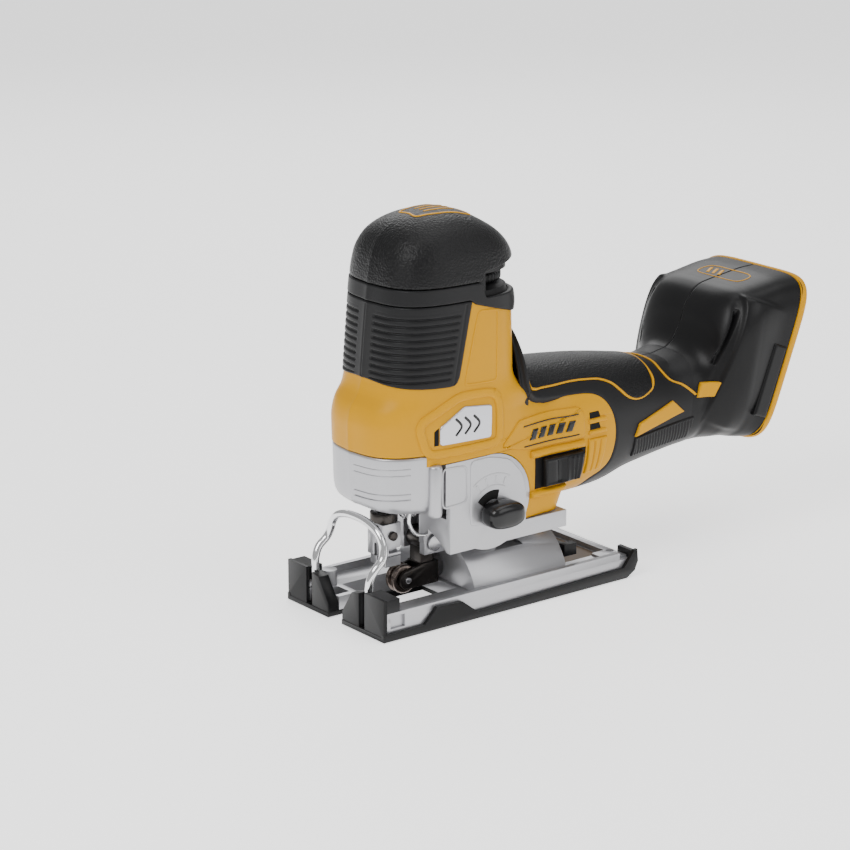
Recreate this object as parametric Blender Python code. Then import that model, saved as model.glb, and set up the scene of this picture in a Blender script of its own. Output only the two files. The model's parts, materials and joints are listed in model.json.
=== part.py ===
"""Cordless jigsaw with a barrel grip, bare tool. Sizes are in millimetres here and become metres in the meshes.

The front (blade end) is -X, the tool's left side is -Y and +Z is up. The origin lies on the sole of the shoe.
Moving pieces have their object origin on their joint axis.
"""
import math

import bmesh
import bpy
import numpy as np
from mathutils import Matrix, Vector

MM = 0.001
GAP = 0.3  # clearance between touching pieces
HALF_GAP = 0.15  # each clamshell half stands this far off the centre plane
RUN = 0.06  # radial running clearance of a shaft in its bore

# Drive train
PLUNGER_X = -43.0
PLUNGER_R = 3.6
STROKE = 26.0
CRANK_X = -18.0
CRANK_Z = 74.0
CRANK_PIN_R = 2.5
YOKE_HALF = 3.0
GEAR_R = 21.0
TOOTH_IN_R = 17.5
GEAR_TEETH = 32
GEAR_Y0 = 5.3
GEAR_Y1 = 12.0
GEAR_SHAFT_R = 4.0
PINION_R = 5.0
PINION_TEETH = 8
PINION_X0 = -0.1
PINION_X1 = 3.6
ROTOR_SHAFT_R = 2.5
ROTOR_R = 11.0
STATOR_IN_R = 12.0
STATOR_R = 19.0
STATOR_X0 = 62.0
STATOR_X1 = 100.0
FAN_R = 18.5
BUSH_R = 5.2
CLAMP_HALF = 6.0

# Tower and handle
WALL = 4.0
SKIN = 1.8  # depth that the rubber pieces are let into the housing
TOWER_CX = -15.0
TOWER_HALF = 30.0
TOWER_TOP = 150.0
BAND_TOP = 157.3
HEAD_TOP = 188.0
HANDLE_Z = 74.0
HANDLE_END = 142.0

# Battery foot: its own axes are n (rearward) and u (upward), tilted by FOOT_TILT
FOOT_TILT = math.radians(21.0)
FOOT_HALF = 38.0
FOOT_U0 = 107.2
FOOT_U1 = 192.5
FOOT_N1 = 134.8
RIM_DEPTH = 3.6

# Gear case and lever
CASE_HALF = 29.8
CASE_ARC_X = -3.0
CASE_ARC_Z = 52.0
CASE_ARC_R = 23.0
LEVER_X = -36.0
LEVER_Y = -30.5
LEVER_Z0 = 54.5
LEVER_Z1 = 80.3

# Shoe
SHOE_X0 = -71.5
SHOE_X1 = 82.0
SHOE_HALF = 38.0
COVER_T = 2.2
DECK_TOP = 9.0
SADDLE_R = 32.0
SADDLE_X0 = -12.5
SADDLE_X1 = 43.0
SWING_R = 41.2  # everything fixed beside the saddle clears this radius about the sole line

# Guide roller and fork
FORK_X = -21.0
FORK_Z = 30.5
ROLLER_X = -33.0
ROLLER_Z = 13.0
ROLLER_R = 7.0

KNOB_X = -2.0
KNOB_Z = 46.0

for old in list(bpy.data.objects):
    bpy.data.objects.remove(old, do_unlink=True)

model = bpy.data.collections.new("jigsaw")
bpy.context.scene.collection.children.link(model)

COLOURS = {
    "yellow": ((0.93, 0.48, 0.02, 1), 0.42, 0.0),
    "rubber": ((0.025, 0.025, 0.027, 1), 0.75, 0.0),
    "black": ((0.03, 0.03, 0.032, 1), 0.5, 0.0),
    "silver": ((0.62, 0.62, 0.64, 1), 0.38, 0.9),
    "steel": ((0.5, 0.5, 0.51, 1), 0.3, 1.0),
    "chrome": ((0.75, 0.75, 0.76, 1), 0.12, 1.0),
    "dark_steel": ((0.05, 0.045, 0.04, 1), 0.35, 1.0),
    "copper": ((0.7, 0.35, 0.18, 1), 0.35, 1.0),
    "brass": ((0.75, 0.6, 0.3, 1), 0.35, 1.0),
    "clear": ((0.85, 0.9, 0.9, 1), 0.1, 0.0),
}
materials = {}
for key, (colour, rough, metal) in COLOURS.items():
    made = bpy.data.materials.new(key)
    made.use_nodes = True
    shader = made.node_tree.nodes["Principled BSDF"]
    shader.inputs["Base Color"].default_value = colour
    shader.inputs["Roughness"].default_value = rough
    shader.inputs["Metallic"].default_value = metal
    materials[key] = made


def raw(name, points, faces):
    """A closed mesh object from millimetre points, faces turned outward."""
    mesh = bpy.data.meshes.new(name)
    mesh.from_pydata([tuple(float(c) * MM for c in p) for p in points], [], [tuple(f) for f in faces])
    body = bmesh.new()
    body.from_mesh(mesh)
    bmesh.ops.recalc_face_normals(body, faces=body.faces)
    bmesh.ops.triangulate(body, faces=body.faces)
    body.to_mesh(mesh)
    body.free()
    made = bpy.data.objects.new(name, mesh)
    model.objects.link(made)
    return made


def loft(name, rings):
    """Closed body through rings of equal count, with flat end caps."""
    count = len(rings[0])
    points = [p for ring in rings for p in ring]
    faces = []
    for r in range(len(rings) - 1):
        for k in range(count):
            n = (k + 1) % count
            faces.append((r * count + k, r * count + n, (r + 1) * count + n, (r + 1) * count + k))
    faces.append(tuple(range(count)))
    faces.append(tuple(range((len(rings) - 1) * count, len(rings) * count)))
    return raw(name, points, faces)


def box(name, x0, x1, y0, y1, z0, z1):
    ring = [(x0, y0), (x1, y0), (x1, y1), (x0, y1)]
    return loft(name, [[(x, y, z0) for x, y in ring], [(x, y, z1) for x, y in ring]])


def prism(name, outline, y0, y1):
    """A flat outline in X and Z carried across Y."""
    return loft(name, [[(x, y0, z) for x, z in outline], [(x, y1, z) for x, z in outline]])


def rod(name, axis, centre, r, a, b, n=20, bore=0.0):
    """A cylinder along an axis letter from a to b, through the other two centre coordinates, or a tube."""
    def ring(radius, level):
        out = []
        for k in range(n):
            t = 2 * math.pi * (k + 0.5) / n
            c, s = radius * math.cos(t), radius * math.sin(t)
            if axis == "X":
                out.append((level, centre[0] + c, centre[1] + s))
            elif axis == "Y":
                out.append((centre[0] + c, level, centre[1] + s))
            else:
                out.append((centre[0] + c, centre[1] + s, level))
        return out
    if not bore:
        return loft(name, [ring(r, a), ring(r, b)])
    rings = [ring(r, a), ring(r, b), ring(bore, b), ring(bore, a)]
    points = [p for one in rings for p in one]
    faces = []
    for r_index in range(4):
        low, high = r_index * n, ((r_index + 1) % 4) * n
        for k in range(n):
            m = (k + 1) % n
            faces.append((low + k, low + m, high + m, high + k))
    return raw(name, points, faces)


def turned(name, axis, centre, profile, n=20):
    """A solid of revolution: profile is (radius, level) from one end of the axis to the other."""
    rings = []
    for radius, level in profile:
        ring = []
        for k in range(n):
            t = 2 * math.pi * (k + 0.5) / n
            c, s = radius * math.cos(t), radius * math.sin(t)
            if axis == "X":
                ring.append((level, centre[0] + c, centre[1] + s))
            elif axis == "Y":
                ring.append((centre[0] + c, level, centre[1] + s))
            else:
                ring.append((centre[0] + c, centre[1] + s, level))
        rings.append(ring)
    return loft(name, rings)


def wire(name, path, r, n=10):
    """A round wire along a path of points, its cross-section turned smoothly from point to point."""
    path = [Vector(p) for p in path]
    ahead = (path[1] - path[0]).normalized()
    side = ahead.orthogonal().normalized()
    rings = []
    for k, point in enumerate(path):
        before = path[max(k - 1, 0)]
        after = path[min(k + 1, len(path) - 1)]
        along = (after - before).normalized()
        side = (side - along * side.dot(along)).normalized()
        other = along.cross(side)
        rings.append([
            point + (side * math.cos(2 * math.pi * j / n) + other * math.sin(2 * math.pi * j / n)) * r
            for j in range(n)
        ])
    return loft(name, rings)


def smooth_path(points, per=4):
    """Catmull-Rom points through the given ones."""
    given = [Vector(p) for p in points]
    given = [given[0] * 2 - given[1]] + given + [given[-1] * 2 - given[-2]]
    out = []
    for i in range(1, len(given) - 2):
        a, b, c, d = given[i - 1:i + 3]
        for k in range(per):
            t = k / per
            out.append(0.5 * ((2 * b) + (c - a) * t + (2 * a - 5 * b + 4 * c - d) * t ** 2
                              + (3 * b - a - 3 * c + d) * t ** 3))
    out.append(given[-2])
    return out


def combine(target, tools, operation):
    """Exact Boolean of the target with each tool in turn; the tools are used up."""
    for tool in tools:
        step = target.modifiers.new("cut", "BOOLEAN")
        step.operation = operation
        step.solver = "EXACT"
        step.object = tool
        bpy.context.view_layer.update()
        graph = bpy.context.evaluated_depsgraph_get()
        result = bpy.data.meshes.new_from_object(target.evaluated_get(graph))
        body = bmesh.new()
        body.from_mesh(result)
        bmesh.ops.remove_doubles(body, verts=body.verts, dist=1e-7)
        bmesh.ops.triangulate(body, faces=body.faces)
        body.to_mesh(result)
        body.free()
        target.modifiers.clear()
        previous = target.data
        target.data = result
        bpy.data.meshes.remove(previous)
        bpy.data.objects.remove(tool, do_unlink=True)
    return target


def cut(target, *tools):
    return combine(target, tools, "DIFFERENCE")


def add(target, *tools):
    return combine(target, tools, "UNION")


def keep(target, *tools):
    return combine(target, tools, "INTERSECT")


def copy_of(source, name):
    twin = bpy.data.objects.new(name, source.data.copy())
    model.objects.link(twin)
    return twin


def finish(target, name, material, pivot=(0, 0, 0)):
    """Names the piece, gives it its material, welds slivers and puts its origin on its joint axis."""
    body = bmesh.new()
    body.from_mesh(target.data)
    bmesh.ops.remove_doubles(body, verts=body.verts, dist=1e-6)
    body.to_mesh(target.data)
    body.free()
    at = Vector(pivot) * MM
    target.data.transform(Matrix.Translation(-at))
    target.location = at
    target.name = name
    target.data.name = name
    target.data.materials.clear()
    target.data.materials.append(materials[material])
    return target


def oval(cx, front, rear, half, z, n=24, power=3.2):
    """Plan ring of the tower: a squared oval with separate front and rear reaches."""
    ring = []
    for k in range(n):
        t = 2 * math.pi * (k + 0.5) / n
        c, s = math.cos(t), math.sin(t)
        reach = rear - cx if c > 0 else cx - front
        x = cx + reach * math.copysign(abs(c) ** (2 / power), c)
        y = half * math.copysign(abs(s) ** (2 / power), s)
        ring.append((x, y, z))
    return ring


TOWER_LEVELS = (
    # z, front, rear, half width
    (39.5, -60.0, 26.0, 30.0),
    (81.0, -60.2, 24.0, 30.4),
    (95.0, -59.9, 22.0, 30.4),
    (103.0, -57.5, 21.2, 30.0),
    (110.5, -54.9, 20.6, 29.7),
    (130.0, -53.0, 20.0, 29.4),
    (TOWER_TOP, -51.2, 19.5, 29.2),
)


def tower_at(z):
    levels = np.array(TOWER_LEVELS)
    return [float(np.interp(z, levels[:, 0], levels[:, k])) for k in (1, 2, 3)]


def tower(name, inset, z0, z1):
    """The tower's outer form drawn in by inset, between two heights."""
    heights = [z0] + [row[0] for row in TOWER_LEVELS if z0 + 0.5 < row[0] < z1 - 0.5] + [z1]
    rings = []
    for z in heights:
        front, rear, half = tower_at(z)
        rings.append(oval(TOWER_CX, front + inset, rear - inset, half - inset, z))
    return loft(name, rings)


HANDLE_LEVELS = (
    # x, bottom, top, half width
    (-5.0, 39.8, 108.0, 28.0),
    (22.0, 39.8, 108.6, 29.6),
    (60.0, 40.0, 106.2, 29.2),
    (75.0, 41.2, 104.8, 28.4),
    (90.0, 45.2, 103.0, 27.4),
    (105.0, 47.6, 100.6, 26.4),
    (118.0, 49.6, 97.6, 25.8),
    (130.0, 51.4, 98.8, 26.4),
    (HANDLE_END, 52.6, 101.0, 27.0),
)


def handle(name, inset, x0, x1, n=20):
    """The barrel handle drawn in by inset, between two stations."""
    levels = np.array(HANDLE_LEVELS)
    stations = [x0] + [row[0] for row in HANDLE_LEVELS if x0 + 0.5 < row[0] < x1 - 0.5] + [x1]
    rings = []
    for x in stations:
        bottom, top, half = (float(np.interp(x, levels[:, 0], levels[:, k])) for k in (1, 2, 3))
        mid, high, wide = (bottom + top) / 2, (top - bottom) / 2 - inset, half - inset
        ring = []
        for k in range(n):
            t = 2 * math.pi * (k + 0.5) / n
            c, s = math.cos(t), math.sin(t)
            y = wide * math.copysign(abs(c) ** (2 / 2.5), c)
            z = mid + high * math.copysign(abs(s) ** (2 / 2.5), s)
            ring.append((x, y, z))
        rings.append(ring)
    return loft(name, rings)


def foot_point(n, y, u):
    """World point of the battery foot's own coordinates."""
    return (n * math.cos(FOOT_TILT) + u * math.sin(FOOT_TILT), y,
            -n * math.sin(FOOT_TILT) + u * math.cos(FOOT_TILT))


def foot_ring(n, half, u0, u1, corner, steps=3):
    ring = []
    for cx, cu, start in ((half - corner, u1 - corner, 0), (-half + corner, u1 - corner, 90),
                          (-half + corner, u0 + corner, 180), (half - corner, u0 + corner, 270)):
        for k in range(steps + 1):
            t = math.radians(start + 90 * k / steps)
            ring.append(foot_point(n, cx + corner * math.cos(t), cu + corner * math.sin(t)))
    return ring


def foot_box(name, n0, n1, half, u0, u1, corner=4.0):
    return loft(name, [foot_ring(n0, half, u0, u1, corner), foot_ring(n1, half, u0, u1, corner)])


LEFT = ("left", -1)
RIGHT = ("right", 1)


def half_space(side):
    """A block that holds one side of the centre plane."""
    if side < 0:
        return box("half", -200, 400, -200, -HALF_GAP, -100, 400)
    return box("half", -200, 400, HALF_GAP, 200, -100, 400)


# Clamshell housing: tower and barrel handle, hollow, let in where the rubber pieces sit
GRIP_OUTLINE = ((23, 94), (60, 93), (70, 86), (75, 73), (72.5, 56), (62, 48.5), (58, 30), (160, 30),
                (160, 130), (23, 130))
FRONT_GRIP_OUTLINE = ((-80, 110.6), (-23, 110.6), (-13, 148.2), (-9, 149.7), (-9, 160), (-80, 160))


def front_grip_region(grow=0.0):
    outline = [(x + (grow if x > -70 else 0), z - (grow if z < 112 else 0)) for x, z in FRONT_GRIP_OUTLINE]
    return prism("region", outline, -60, 60)


housing = add(tower("housing", 0, 39.5, TOWER_TOP), handle("h", 0, -5, HANDLE_END))
OUTLINE_PUSH = ((-1, -1), (-1, -1), (-1, -1), (-1.2, 0.2), (-1.3, 0.9), (-0.9, 1.5), (-1.5, 0), (0, 0), (0, 0), (-1, 0))
recess_outline = [(x + i * GAP, z + k * GAP) for (x, z), (i, k) in zip(GRIP_OUTLINE, OUTLINE_PUSH)]
grip_recess = cut(prism("recess", recess_outline, -60, 60), handle("h", SKIN, -20, 150))
grip_recess = cut(grip_recess, tower("t", 0, 39.0, 160))
cut(housing, grip_recess)
front_recess = cut(front_grip_region(GAP), tower("t", SKIN, 100, 170))
cut(housing, front_recess)
cut(housing, tower("t", WALL, 35, 160), handle("h", WALL + 0.6, -20, 138.5))
cut(housing,
    box("c", -80, -33.3, -60, 60, 30, 81.0),
    box("c", -34, CASE_ARC_X, -60, 60, 30, 75.3),
    rod("c", "Y", (CASE_ARC_X, CASE_ARC_Z), CASE_ARC_R + GAP, -60, 60, 40),
    box("c", -4, 18.4, -60, 60, 30, 46.0))
SLIDER_X0, SLIDER_X1, SLIDER_Z0, SLIDER_Z1 = 28.5, 53.0, 51.5, 66.5
SLIDER_TRAVEL = 6.0
cut(housing, box("c", SLIDER_X0 - SLIDER_TRAVEL + 3.0, SLIDER_X1 - 2.6, -60, 60, SLIDER_Z0 + 3, SLIDER_Z1 - 3))
cut(housing, box("c", 55, 64, -60, 60, 81.5, 84.0), box("c", 55, 64, -60, 60, 75.5, 78.0))
SCREWS = ((-24.0, 105.0, 27.2), (6.0, 128.0, 25.0), (114.5, 74.0, 21.8))
for x, z, reach in SCREWS:
    add(housing, rod("boss", "Y", (x, z), 4.2, -reach, reach, 14))
    cut(housing, rod("bore", "Y", (x, z), 1.9, 8 - reach, 40, 14), rod("bore", "Y", (x, z), 3.4, reach - 3.5, 50, 14))
for side, sign in (LEFT, RIGHT):
    finish(keep(copy_of(housing, "h"), half_space(sign)), "housing_" + side, "yellow")
bpy.data.objects.remove(housing, do_unlink=True)

for k, (x, z, reach) in enumerate(SCREWS):
    screw = add(rod("s", "Y", (x, z), 1.5, 9 - reach, reach - 2, 12), rod("s", "Y", (x, z), 3.0, reach - 3.2, reach - 0.6, 12))
    finish(screw, f"housing_screw_{k + 1}", "steel")

# Rubber pieces of the handle
grips = keep(cut(handle("g", 0, 24.0, HANDLE_END - GAP), handle("h", SKIN - GAP, 10, 150)), prism("p", GRIP_OUTLINE, -60, 60))
cut(grips, tower("t", -GAP, 30, 160), rod("bore", "Y", SCREWS[2][:2], 3.4, 10, 50, 14))
for side, sign in (LEFT, RIGHT):
    finish(keep(copy_of(grips, "g"), half_space(sign)), "grip_" + side, "rubber")
bpy.data.objects.remove(grips, do_unlink=True)

# Ribbed front grip, band and domed head cap
front_grip = keep(cut(tower("g", 0, 105, TOWER_TOP - GAP), tower("t", SKIN - GAP, 100, 160)), front_grip_region())
for k in range(3):
    z = 118.0 + 10.0 * k
    groove = cut(tower("r", -2, z, z + 2.0), tower("t", 0.7, z - 1, z + 3))
    keep(groove, prism("p", ((-80, 100), (-30 + 0.2 * (z - 110), 100), (-30 + 0.2 * (z - 110), 160), (-80, 160)), -60, 60))
    cut(front_grip, groove)
finish(front_grip, "front_grip", "rubber")

HEAD_FRONT, HEAD_REAR, HEAD_HALF = -50.6, 19.3, 29.0
band = loft("band", [oval(TOWER_CX, HEAD_FRONT, HEAD_REAR, HEAD_HALF, TOWER_TOP + GAP),
                     oval(TOWER_CX, -49.9, 19.0, HEAD_HALF, BAND_TOP)])
cut(band, loft("c", [oval(TOWER_CX, HEAD_FRONT + WALL, HEAD_REAR - WALL, HEAD_HALF - WALL, TOWER_TOP - 1),
                     oval(TOWER_CX, -49.9 + WALL, 19.0 - WALL, HEAD_HALF - WALL, BAND_TOP + 1)]))
cut(band, box("c", -5.0, 60, -60, 60, 152.3, 170))
finish(band, "head_band", "rubber")

HEAD_LEVELS = ((BAND_TOP + GAP, 1.0), (164.0, 0.99), (170.5, 0.95), (177.0, 0.84), (182.0, 0.68), (185.6, 0.46),
               (HEAD_TOP, 0.16))


def head(name, inset, drop):
    rings = []
    for z, scale in HEAD_LEVELS:
        front = TOWER_CX + (HEAD_FRONT + 0.6 - TOWER_CX) * scale
        rear = TOWER_CX + (23.5 - TOWER_CX) * scale
        ring = oval(TOWER_CX, front, rear, HEAD_HALF * scale, z, 24, 3.0)
        reduce = 1 - inset / 31.0
        rings.append([(TOWER_CX + (x - TOWER_CX) * reduce, y * reduce, z - drop) for x, y, z in ring])
    return loft(name, rings)


finish(cut(head("cap", 0, 0), head("c", 3.2, 3.2)), "head_cap", "rubber")

# Speed dial: a thumbwheel across the back of the head
DIAL_X, DIAL_R = 1.5, 18.6
dial = rod("dial", "Z", (DIAL_X, 0), DIAL_R, 152.8, 156.8, 32, bore=4.0)
for k in range(8):
    t = 2 * math.pi * k / 8
    cut(dial, rod("n", "Z", (DIAL_X + DIAL_R * math.cos(t), DIAL_R * math.sin(t)), 0.9, 150, 160, 6))
finish(dial, "speed_dial", "black", (DIAL_X, 0, 154.8))
pot = add(rod("pot", "Z", (DIAL_X, 0), 4.0 - RUN - 0.3, 140.0, 156.5, 20), rod("p", "Z", (DIAL_X, 0), 9, 140.5, 149.0, 20),
          box("b", DIAL_X - 10, DIAL_X + 10, -11, 11, 138.2, 140.6))
finish(pot, "dial_pot", "black")

# Battery foot
foot = loft("foot", [
    foot_ring(88.5, 25, 112, 142, 8), foot_ring(92.5, 29, 109, 160, 9), foot_ring(98, 34, 107.4, 172, 10),
    foot_ring(104, 36.8, FOOT_U0, 176, 9), foot_ring(120, 37.2, FOOT_U0, 177.5, 9),
    foot_ring(127, 37.6, FOOT_U0, 186, 10), foot_ring(FOOT_N1 - RIM_DEPTH - GAP, FOOT_HALF, FOOT_U0, 190.5, 12)])
cut(foot, handle("h", -GAP, 60, HANDLE_END + GAP))
cut(foot, foot_box("c", 113, 124.5, 31.0, 113.6, 172, 3), foot_box("c", 123, 129.4, 26.5, 114.4, 171, 3.4),
    foot_box("c", 128.6, 140, 26.0, 115.1, 183, 3.0))
cut(foot, foot_box("c", 104.6, 113.7, 20, 122, 160, 3))
for sign in (-1, 1):
    cut(foot, loft("vent", [[foot_point(n, sign * y, u) for n, u in ((106.5, 130), (110, 130), (110, 158), (106.5, 158))]
                            for y in (34.5, 45)]))
for side, sign in (LEFT, RIGHT):
    finish(keep(copy_of(foot, "f"), half_space(sign)), "foot_" + side, "black")
bpy.data.objects.remove(foot, do_unlink=True)

rim = loft("rim", [foot_ring(FOOT_N1 - RIM_DEPTH, FOOT_HALF + 0.3, FOOT_U0 - 0.2, 191.6, 13),
                   foot_ring(FOOT_N1, FOOT_HALF + 0.3, FOOT_U0 - 0.2, FOOT_U1, 13)])
cut(rim, foot_box("c", 125, 140, 31.5, 113.5, 185.5, 8))
finish(rim, "foot_rim", "yellow")

terminal = foot_box("t", 113.4, 128, 15, 134, 160, 1.5)
for y in (-9.5, 0.0, 9.5):
    cut(terminal, foot_box("c", 116.0, 131, 1.6, 137, 157, 0.5) if y == 0 else
        loft("c", [[foot_point(n, y + dy, u) for n, dy in ((116.0, -1.6), (131, -1.6), (131, 1.6), (116.0, 1.6))]
                   for u in (137, 157)]))
finish(terminal, "terminal_block", "black")
for k, y in enumerate((-9.5, 0.0, 9.5)):
    blade = loft("c", [[foot_point(n, y + dy, u) for n, dy in ((116.3, -0.4), (127, -0.4), (127, 0.4), (116.3, 0.4))]
                       for u in (139, 155)])
    finish(blade, f"contact_{k + 1}", "copper")
finish(foot_box("m", 105.6, 112.8, 17, 125, 157, 2), "control_module", "black")

# Gear case
case = add(box("case", -33, CASE_ARC_X + 1, -CASE_HALF, CASE_HALF, 31, 74.8),
           rod("c", "Y", (CASE_ARC_X, CASE_ARC_Z), CASE_ARC_R, -CASE_HALF, CASE_HALF, 40),
           box("c", -18, 18.0, -CASE_HALF, CASE_HALF, 31, 45.5),
           box("c", -18.2, SADDLE_X1, -CASE_HALF, CASE_HALF, 31, 39.1))
nose = keep(loft("nose", [oval(TOWER_CX, -55.0, 12, 25.2, 55, 28), oval(TOWER_CX, -55.0, 12, 25.2, 80, 28)]),
            box("k", -60, -30.5, -40, 40, 40, 90))
add(case, nose, box("c", -37, 9, -20, 20, 44.3, 100), box("c", 8, 14.2, -11, 11, 62, 85))
cut(case, box("c", -60, -27.0, -60, 60, 20, 53.5))
swing = cut(rod("swing", "X", (0, 0), SWING_R, -100, 100, 36), box("c", -110, 110, -13, 13, 25, 60))
cut(case, swing)
cut(case, rod("c", "X", (0, 0), SADDLE_R + 0.6, SADDLE_X0 - 4.0, 100, 48))
cut(case, box("c", -34, SADDLE_X0 - 3.9, -13.5, -9.8, 20, 36.5), box("c", -34, SADDLE_X0 - 3.9, 9.8, 13.5, 20, 36.5))
add(case, box("c", -26.6, -15.0, -9.8, 9.8, 25.2, 40))
cut(case, box("c", -40, -12.0, -6.0, 6.0, 20, 47))
cut(case, rod("c", "Y", (CRANK_X, CRANK_Z), GEAR_R + 0.9, GEAR_Y0 - 0.6, 20.5, 32))
cut(case, rod("c", "Y", (CRANK_X, CRANK_Z), 17.2, -3.7, 20, 24))
cut(case, box("c", -37.2, 0.3, -3.6, 3.6, 50, 130))
cut(case, box("c", -52, -35, -10, 10, 40, 75.6))
cut(case, box("c", -37.05, -33.0, -3.6, 3.6, 40, 130))
cut(case, rod("c", "X", (0, HANDLE_Z), 5.8, -3, 20, 24), rod("c", "X", (0, HANDLE_Z), 8.3, 7.2, 20, 24))
cut(case, rod("c", "Z", (PLUNGER_X, 0), BUSH_R + 0.03, 70, 90, 20))
add(case, rod("c", "Z", (PLUNGER_X, 0), 6.2, 79.5, 82.4, 20, bore=BUSH_R + 0.03))
for sign in (-1, 1):
    add(case, box("post", -47.4, -40.4, *sorted((sign * 7.2, sign * 10.4)), 79.0, 120.5))
add(case, cut(box("carrier", -48.9, -37.3, -8.8, 8.8, 115.2, 120.9), rod("c", "Z", (PLUNGER_X, 0), BUSH_R + 0.03, 110, 130, 20)))
cut(case, rod("c", "Y", (KNOB_X, KNOB_Z), 3.5 + RUN, -40, -8, 20))
cut(case, box("c", KNOB_X - 6, KNOB_X + 6, -11, -2.5, KNOB_Z - 6, KNOB_Z + 6))
cut(case, rod("c", "Y", (FORK_X, FORK_Z), 2.53, -12, 12, 20))
for sign in (-1, 1):
    y0, y1 = sorted((sign * 20.2, sign * 26.8))
    cut(case, box("c", -30, 12, y0, y1, 47.3, 81))
cut(case, rod("c", "Z", (LEVER_X, LEVER_Y), 6.4, 40, 90, 20))
add(case, rod("k", "Z", (-33.5, -27.0), 3.2, 60.0, 72.0, 12))
cut(case, rod("c", "Z", (LEVER_X, LEVER_Y), 5.6, 40, 90, 20))
finish(case, "gear_case", "silver")

COVER_Y = 20.6
cover = add(box("cover", -29.6, 5.5, COVER_Y, COVER_Y + 2.4, 48.0, 97.0),
            rod("c", "Y", (CRANK_X, CRANK_Z), 7.5, 14.5, COVER_Y + 0.1, 20))
cut(cover, rod("c", "Y", (CRANK_X, CRANK_Z), GEAR_SHAFT_R + RUN, 10, COVER_Y + 0.8, 24))
finish(cover, "gear_cover", "silver")

# Crank gear: a face gear on a cross axis, its teeth towards the pinion
gear = add(rod("gear", "Y", (CRANK_X, CRANK_Z), GEAR_R, GEAR_Y0 + 2.4, GEAR_Y1, 36),
           rod("s", "Y", (CRANK_X, CRANK_Z), GEAR_SHAFT_R, GEAR_Y1 - 1, 20.9, 24))
for k in range(GEAR_TEETH):
    t = 2 * math.pi * k / GEAR_TEETH
    ends = []
    for r, wide in ((TOOTH_IN_R + 0.4, 0.55), (GEAR_R - 0.4, 0.75)):
        across = Vector((-math.sin(t), math.cos(t))) * wide
        middle = Vector((CRANK_X + r * math.cos(t), CRANK_Z + r * math.sin(t)))
        tip = across * 0.5
        ends.append([(middle.x - across.x, GEAR_Y0 + 2.6, middle.y - across.y),
                     (middle.x + across.x, GEAR_Y0 + 2.6, middle.y + across.y),
                     (middle.x + tip.x, GEAR_Y0, middle.y + tip.y),
                     (middle.x - tip.x, GEAR_Y0, middle.y - tip.y)])
    add(gear, loft("tooth", ends))
cut(gear, rod("c", "Y", (CRANK_X, CRANK_Z - STROKE / 2), CRANK_PIN_R, 0, 9.5, 20))
finish(gear, "crank_gear", "steel", (CRANK_X, 0, CRANK_Z))
finish(rod("pin", "Y", (CRANK_X, CRANK_Z - STROKE / 2), CRANK_PIN_R, YOKE_HALF + GAP, 9.5, 20), "crank_pin", "steel",
       (CRANK_X, 0, CRANK_Z))

pinion = rod("pinion", "X", (0, HANDLE_Z), PINION_R - 1.3, PINION_X0, PINION_X1, 27)
for k in range(PINION_TEETH):
    t = 2 * math.pi * (k + 0.5) / PINION_TEETH
    ends = []
    for x in (PINION_X0, PINION_X1):
        ring = []
        for r, wide in ((PINION_R - 1.8, -0.7), (PINION_R - 0.1, -0.35), (PINION_R - 0.1, 0.35), (PINION_R - 1.8, 0.7)):
            ring.append((x, r * math.cos(t) - wide * math.sin(t), HANDLE_Z + r * math.sin(t) + wide * math.cos(t)))
        ends.append(ring)
    add(pinion, loft("tooth", ends))
cut(pinion, rod("c", "X", (0, HANDLE_Z), ROTOR_SHAFT_R, -5, 10, 20))
finish(pinion, "pinion", "steel", (0, 0, HANDLE_Z))

# Plunger, scotch yoke and bushings; the plunger rests at the bottom of its stroke
finish(rod("p", "Z", (PLUNGER_X, 0), PLUNGER_R, 34.0, 122.5, 20), "plunger", "steel")
SLOT_Z = CRANK_Z - STROKE / 2
yoke = add(box("yoke", -36.0, -1.0, -YOKE_HALF, YOKE_HALF, SLOT_Z - 5.2, SLOT_Z + 5.2),
           box("w", -36.0, -33.6, -YOKE_HALF + 0.01, YOKE_HALF - 0.01, SLOT_Z, 88.0),
           box("a", PLUNGER_X, -33.7, -YOKE_HALF + 0.02, YOKE_HALF - 0.02, 83.6, 88.0),
           rod("b", "Z", (PLUNGER_X, 0), 6.0, 83.5, 88.1, 20))
cut(yoke, box("slot", -33.3, -2.3, -10, 10, SLOT_Z - CRANK_PIN_R - RUN, SLOT_Z + CRANK_PIN_R + RUN),
    rod("c", "Z", (PLUNGER_X, 0), PLUNGER_R, 70, 100, 20))
finish(yoke, "scotch_yoke", "steel")
finish(rod("b", "Z", (PLUNGER_X, 0), BUSH_R, 76.2, 82.2, 20, bore=PLUNGER_R + RUN), "bushing_lower", "brass")
finish(rod("b", "Z", (PLUNGER_X, 0), BUSH_R, 115.4, 120.7, 20, bore=PLUNGER_R + RUN), "bushing_upper", "brass")

# Blade clamp on the plunger
clamp = add(box("clamp", PLUNGER_X - 5.0, PLUNGER_X + 5.5, -CLAMP_HALF, CLAMP_HALF, 27.0, 43.0),
            box("w", PLUNGER_X - 3.4, PLUNGER_X + 5.4, -CLAMP_HALF + 0.01, CLAMP_HALF - 0.01, 22.0, 27.1),
            box("t", PLUNGER_X - 6.6, PLUNGER_X - 4.9, -3.2, 3.2, 37.5, 42.0))
cut(clamp, rod("c", "Z", (PLUNGER_X, 0), PLUNGER_R, 33.9, 60, 20), box("slot", -60, PLUNGER_X + 3.0, -0.9, 0.9, 10, 33.0),
    box("slot", PLUNGER_X - 1.5, PLUNGER_X + 10, 2.8, 10, 28.6, 30.6), box("slot", PLUNGER_X - 1.5, PLUNGER_X + 10, -10, -2.8, 28.6, 30.6))
SCREW_Z = (31.5, 39.7)
finish(clamp, "clamp_body", "silver")
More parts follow.
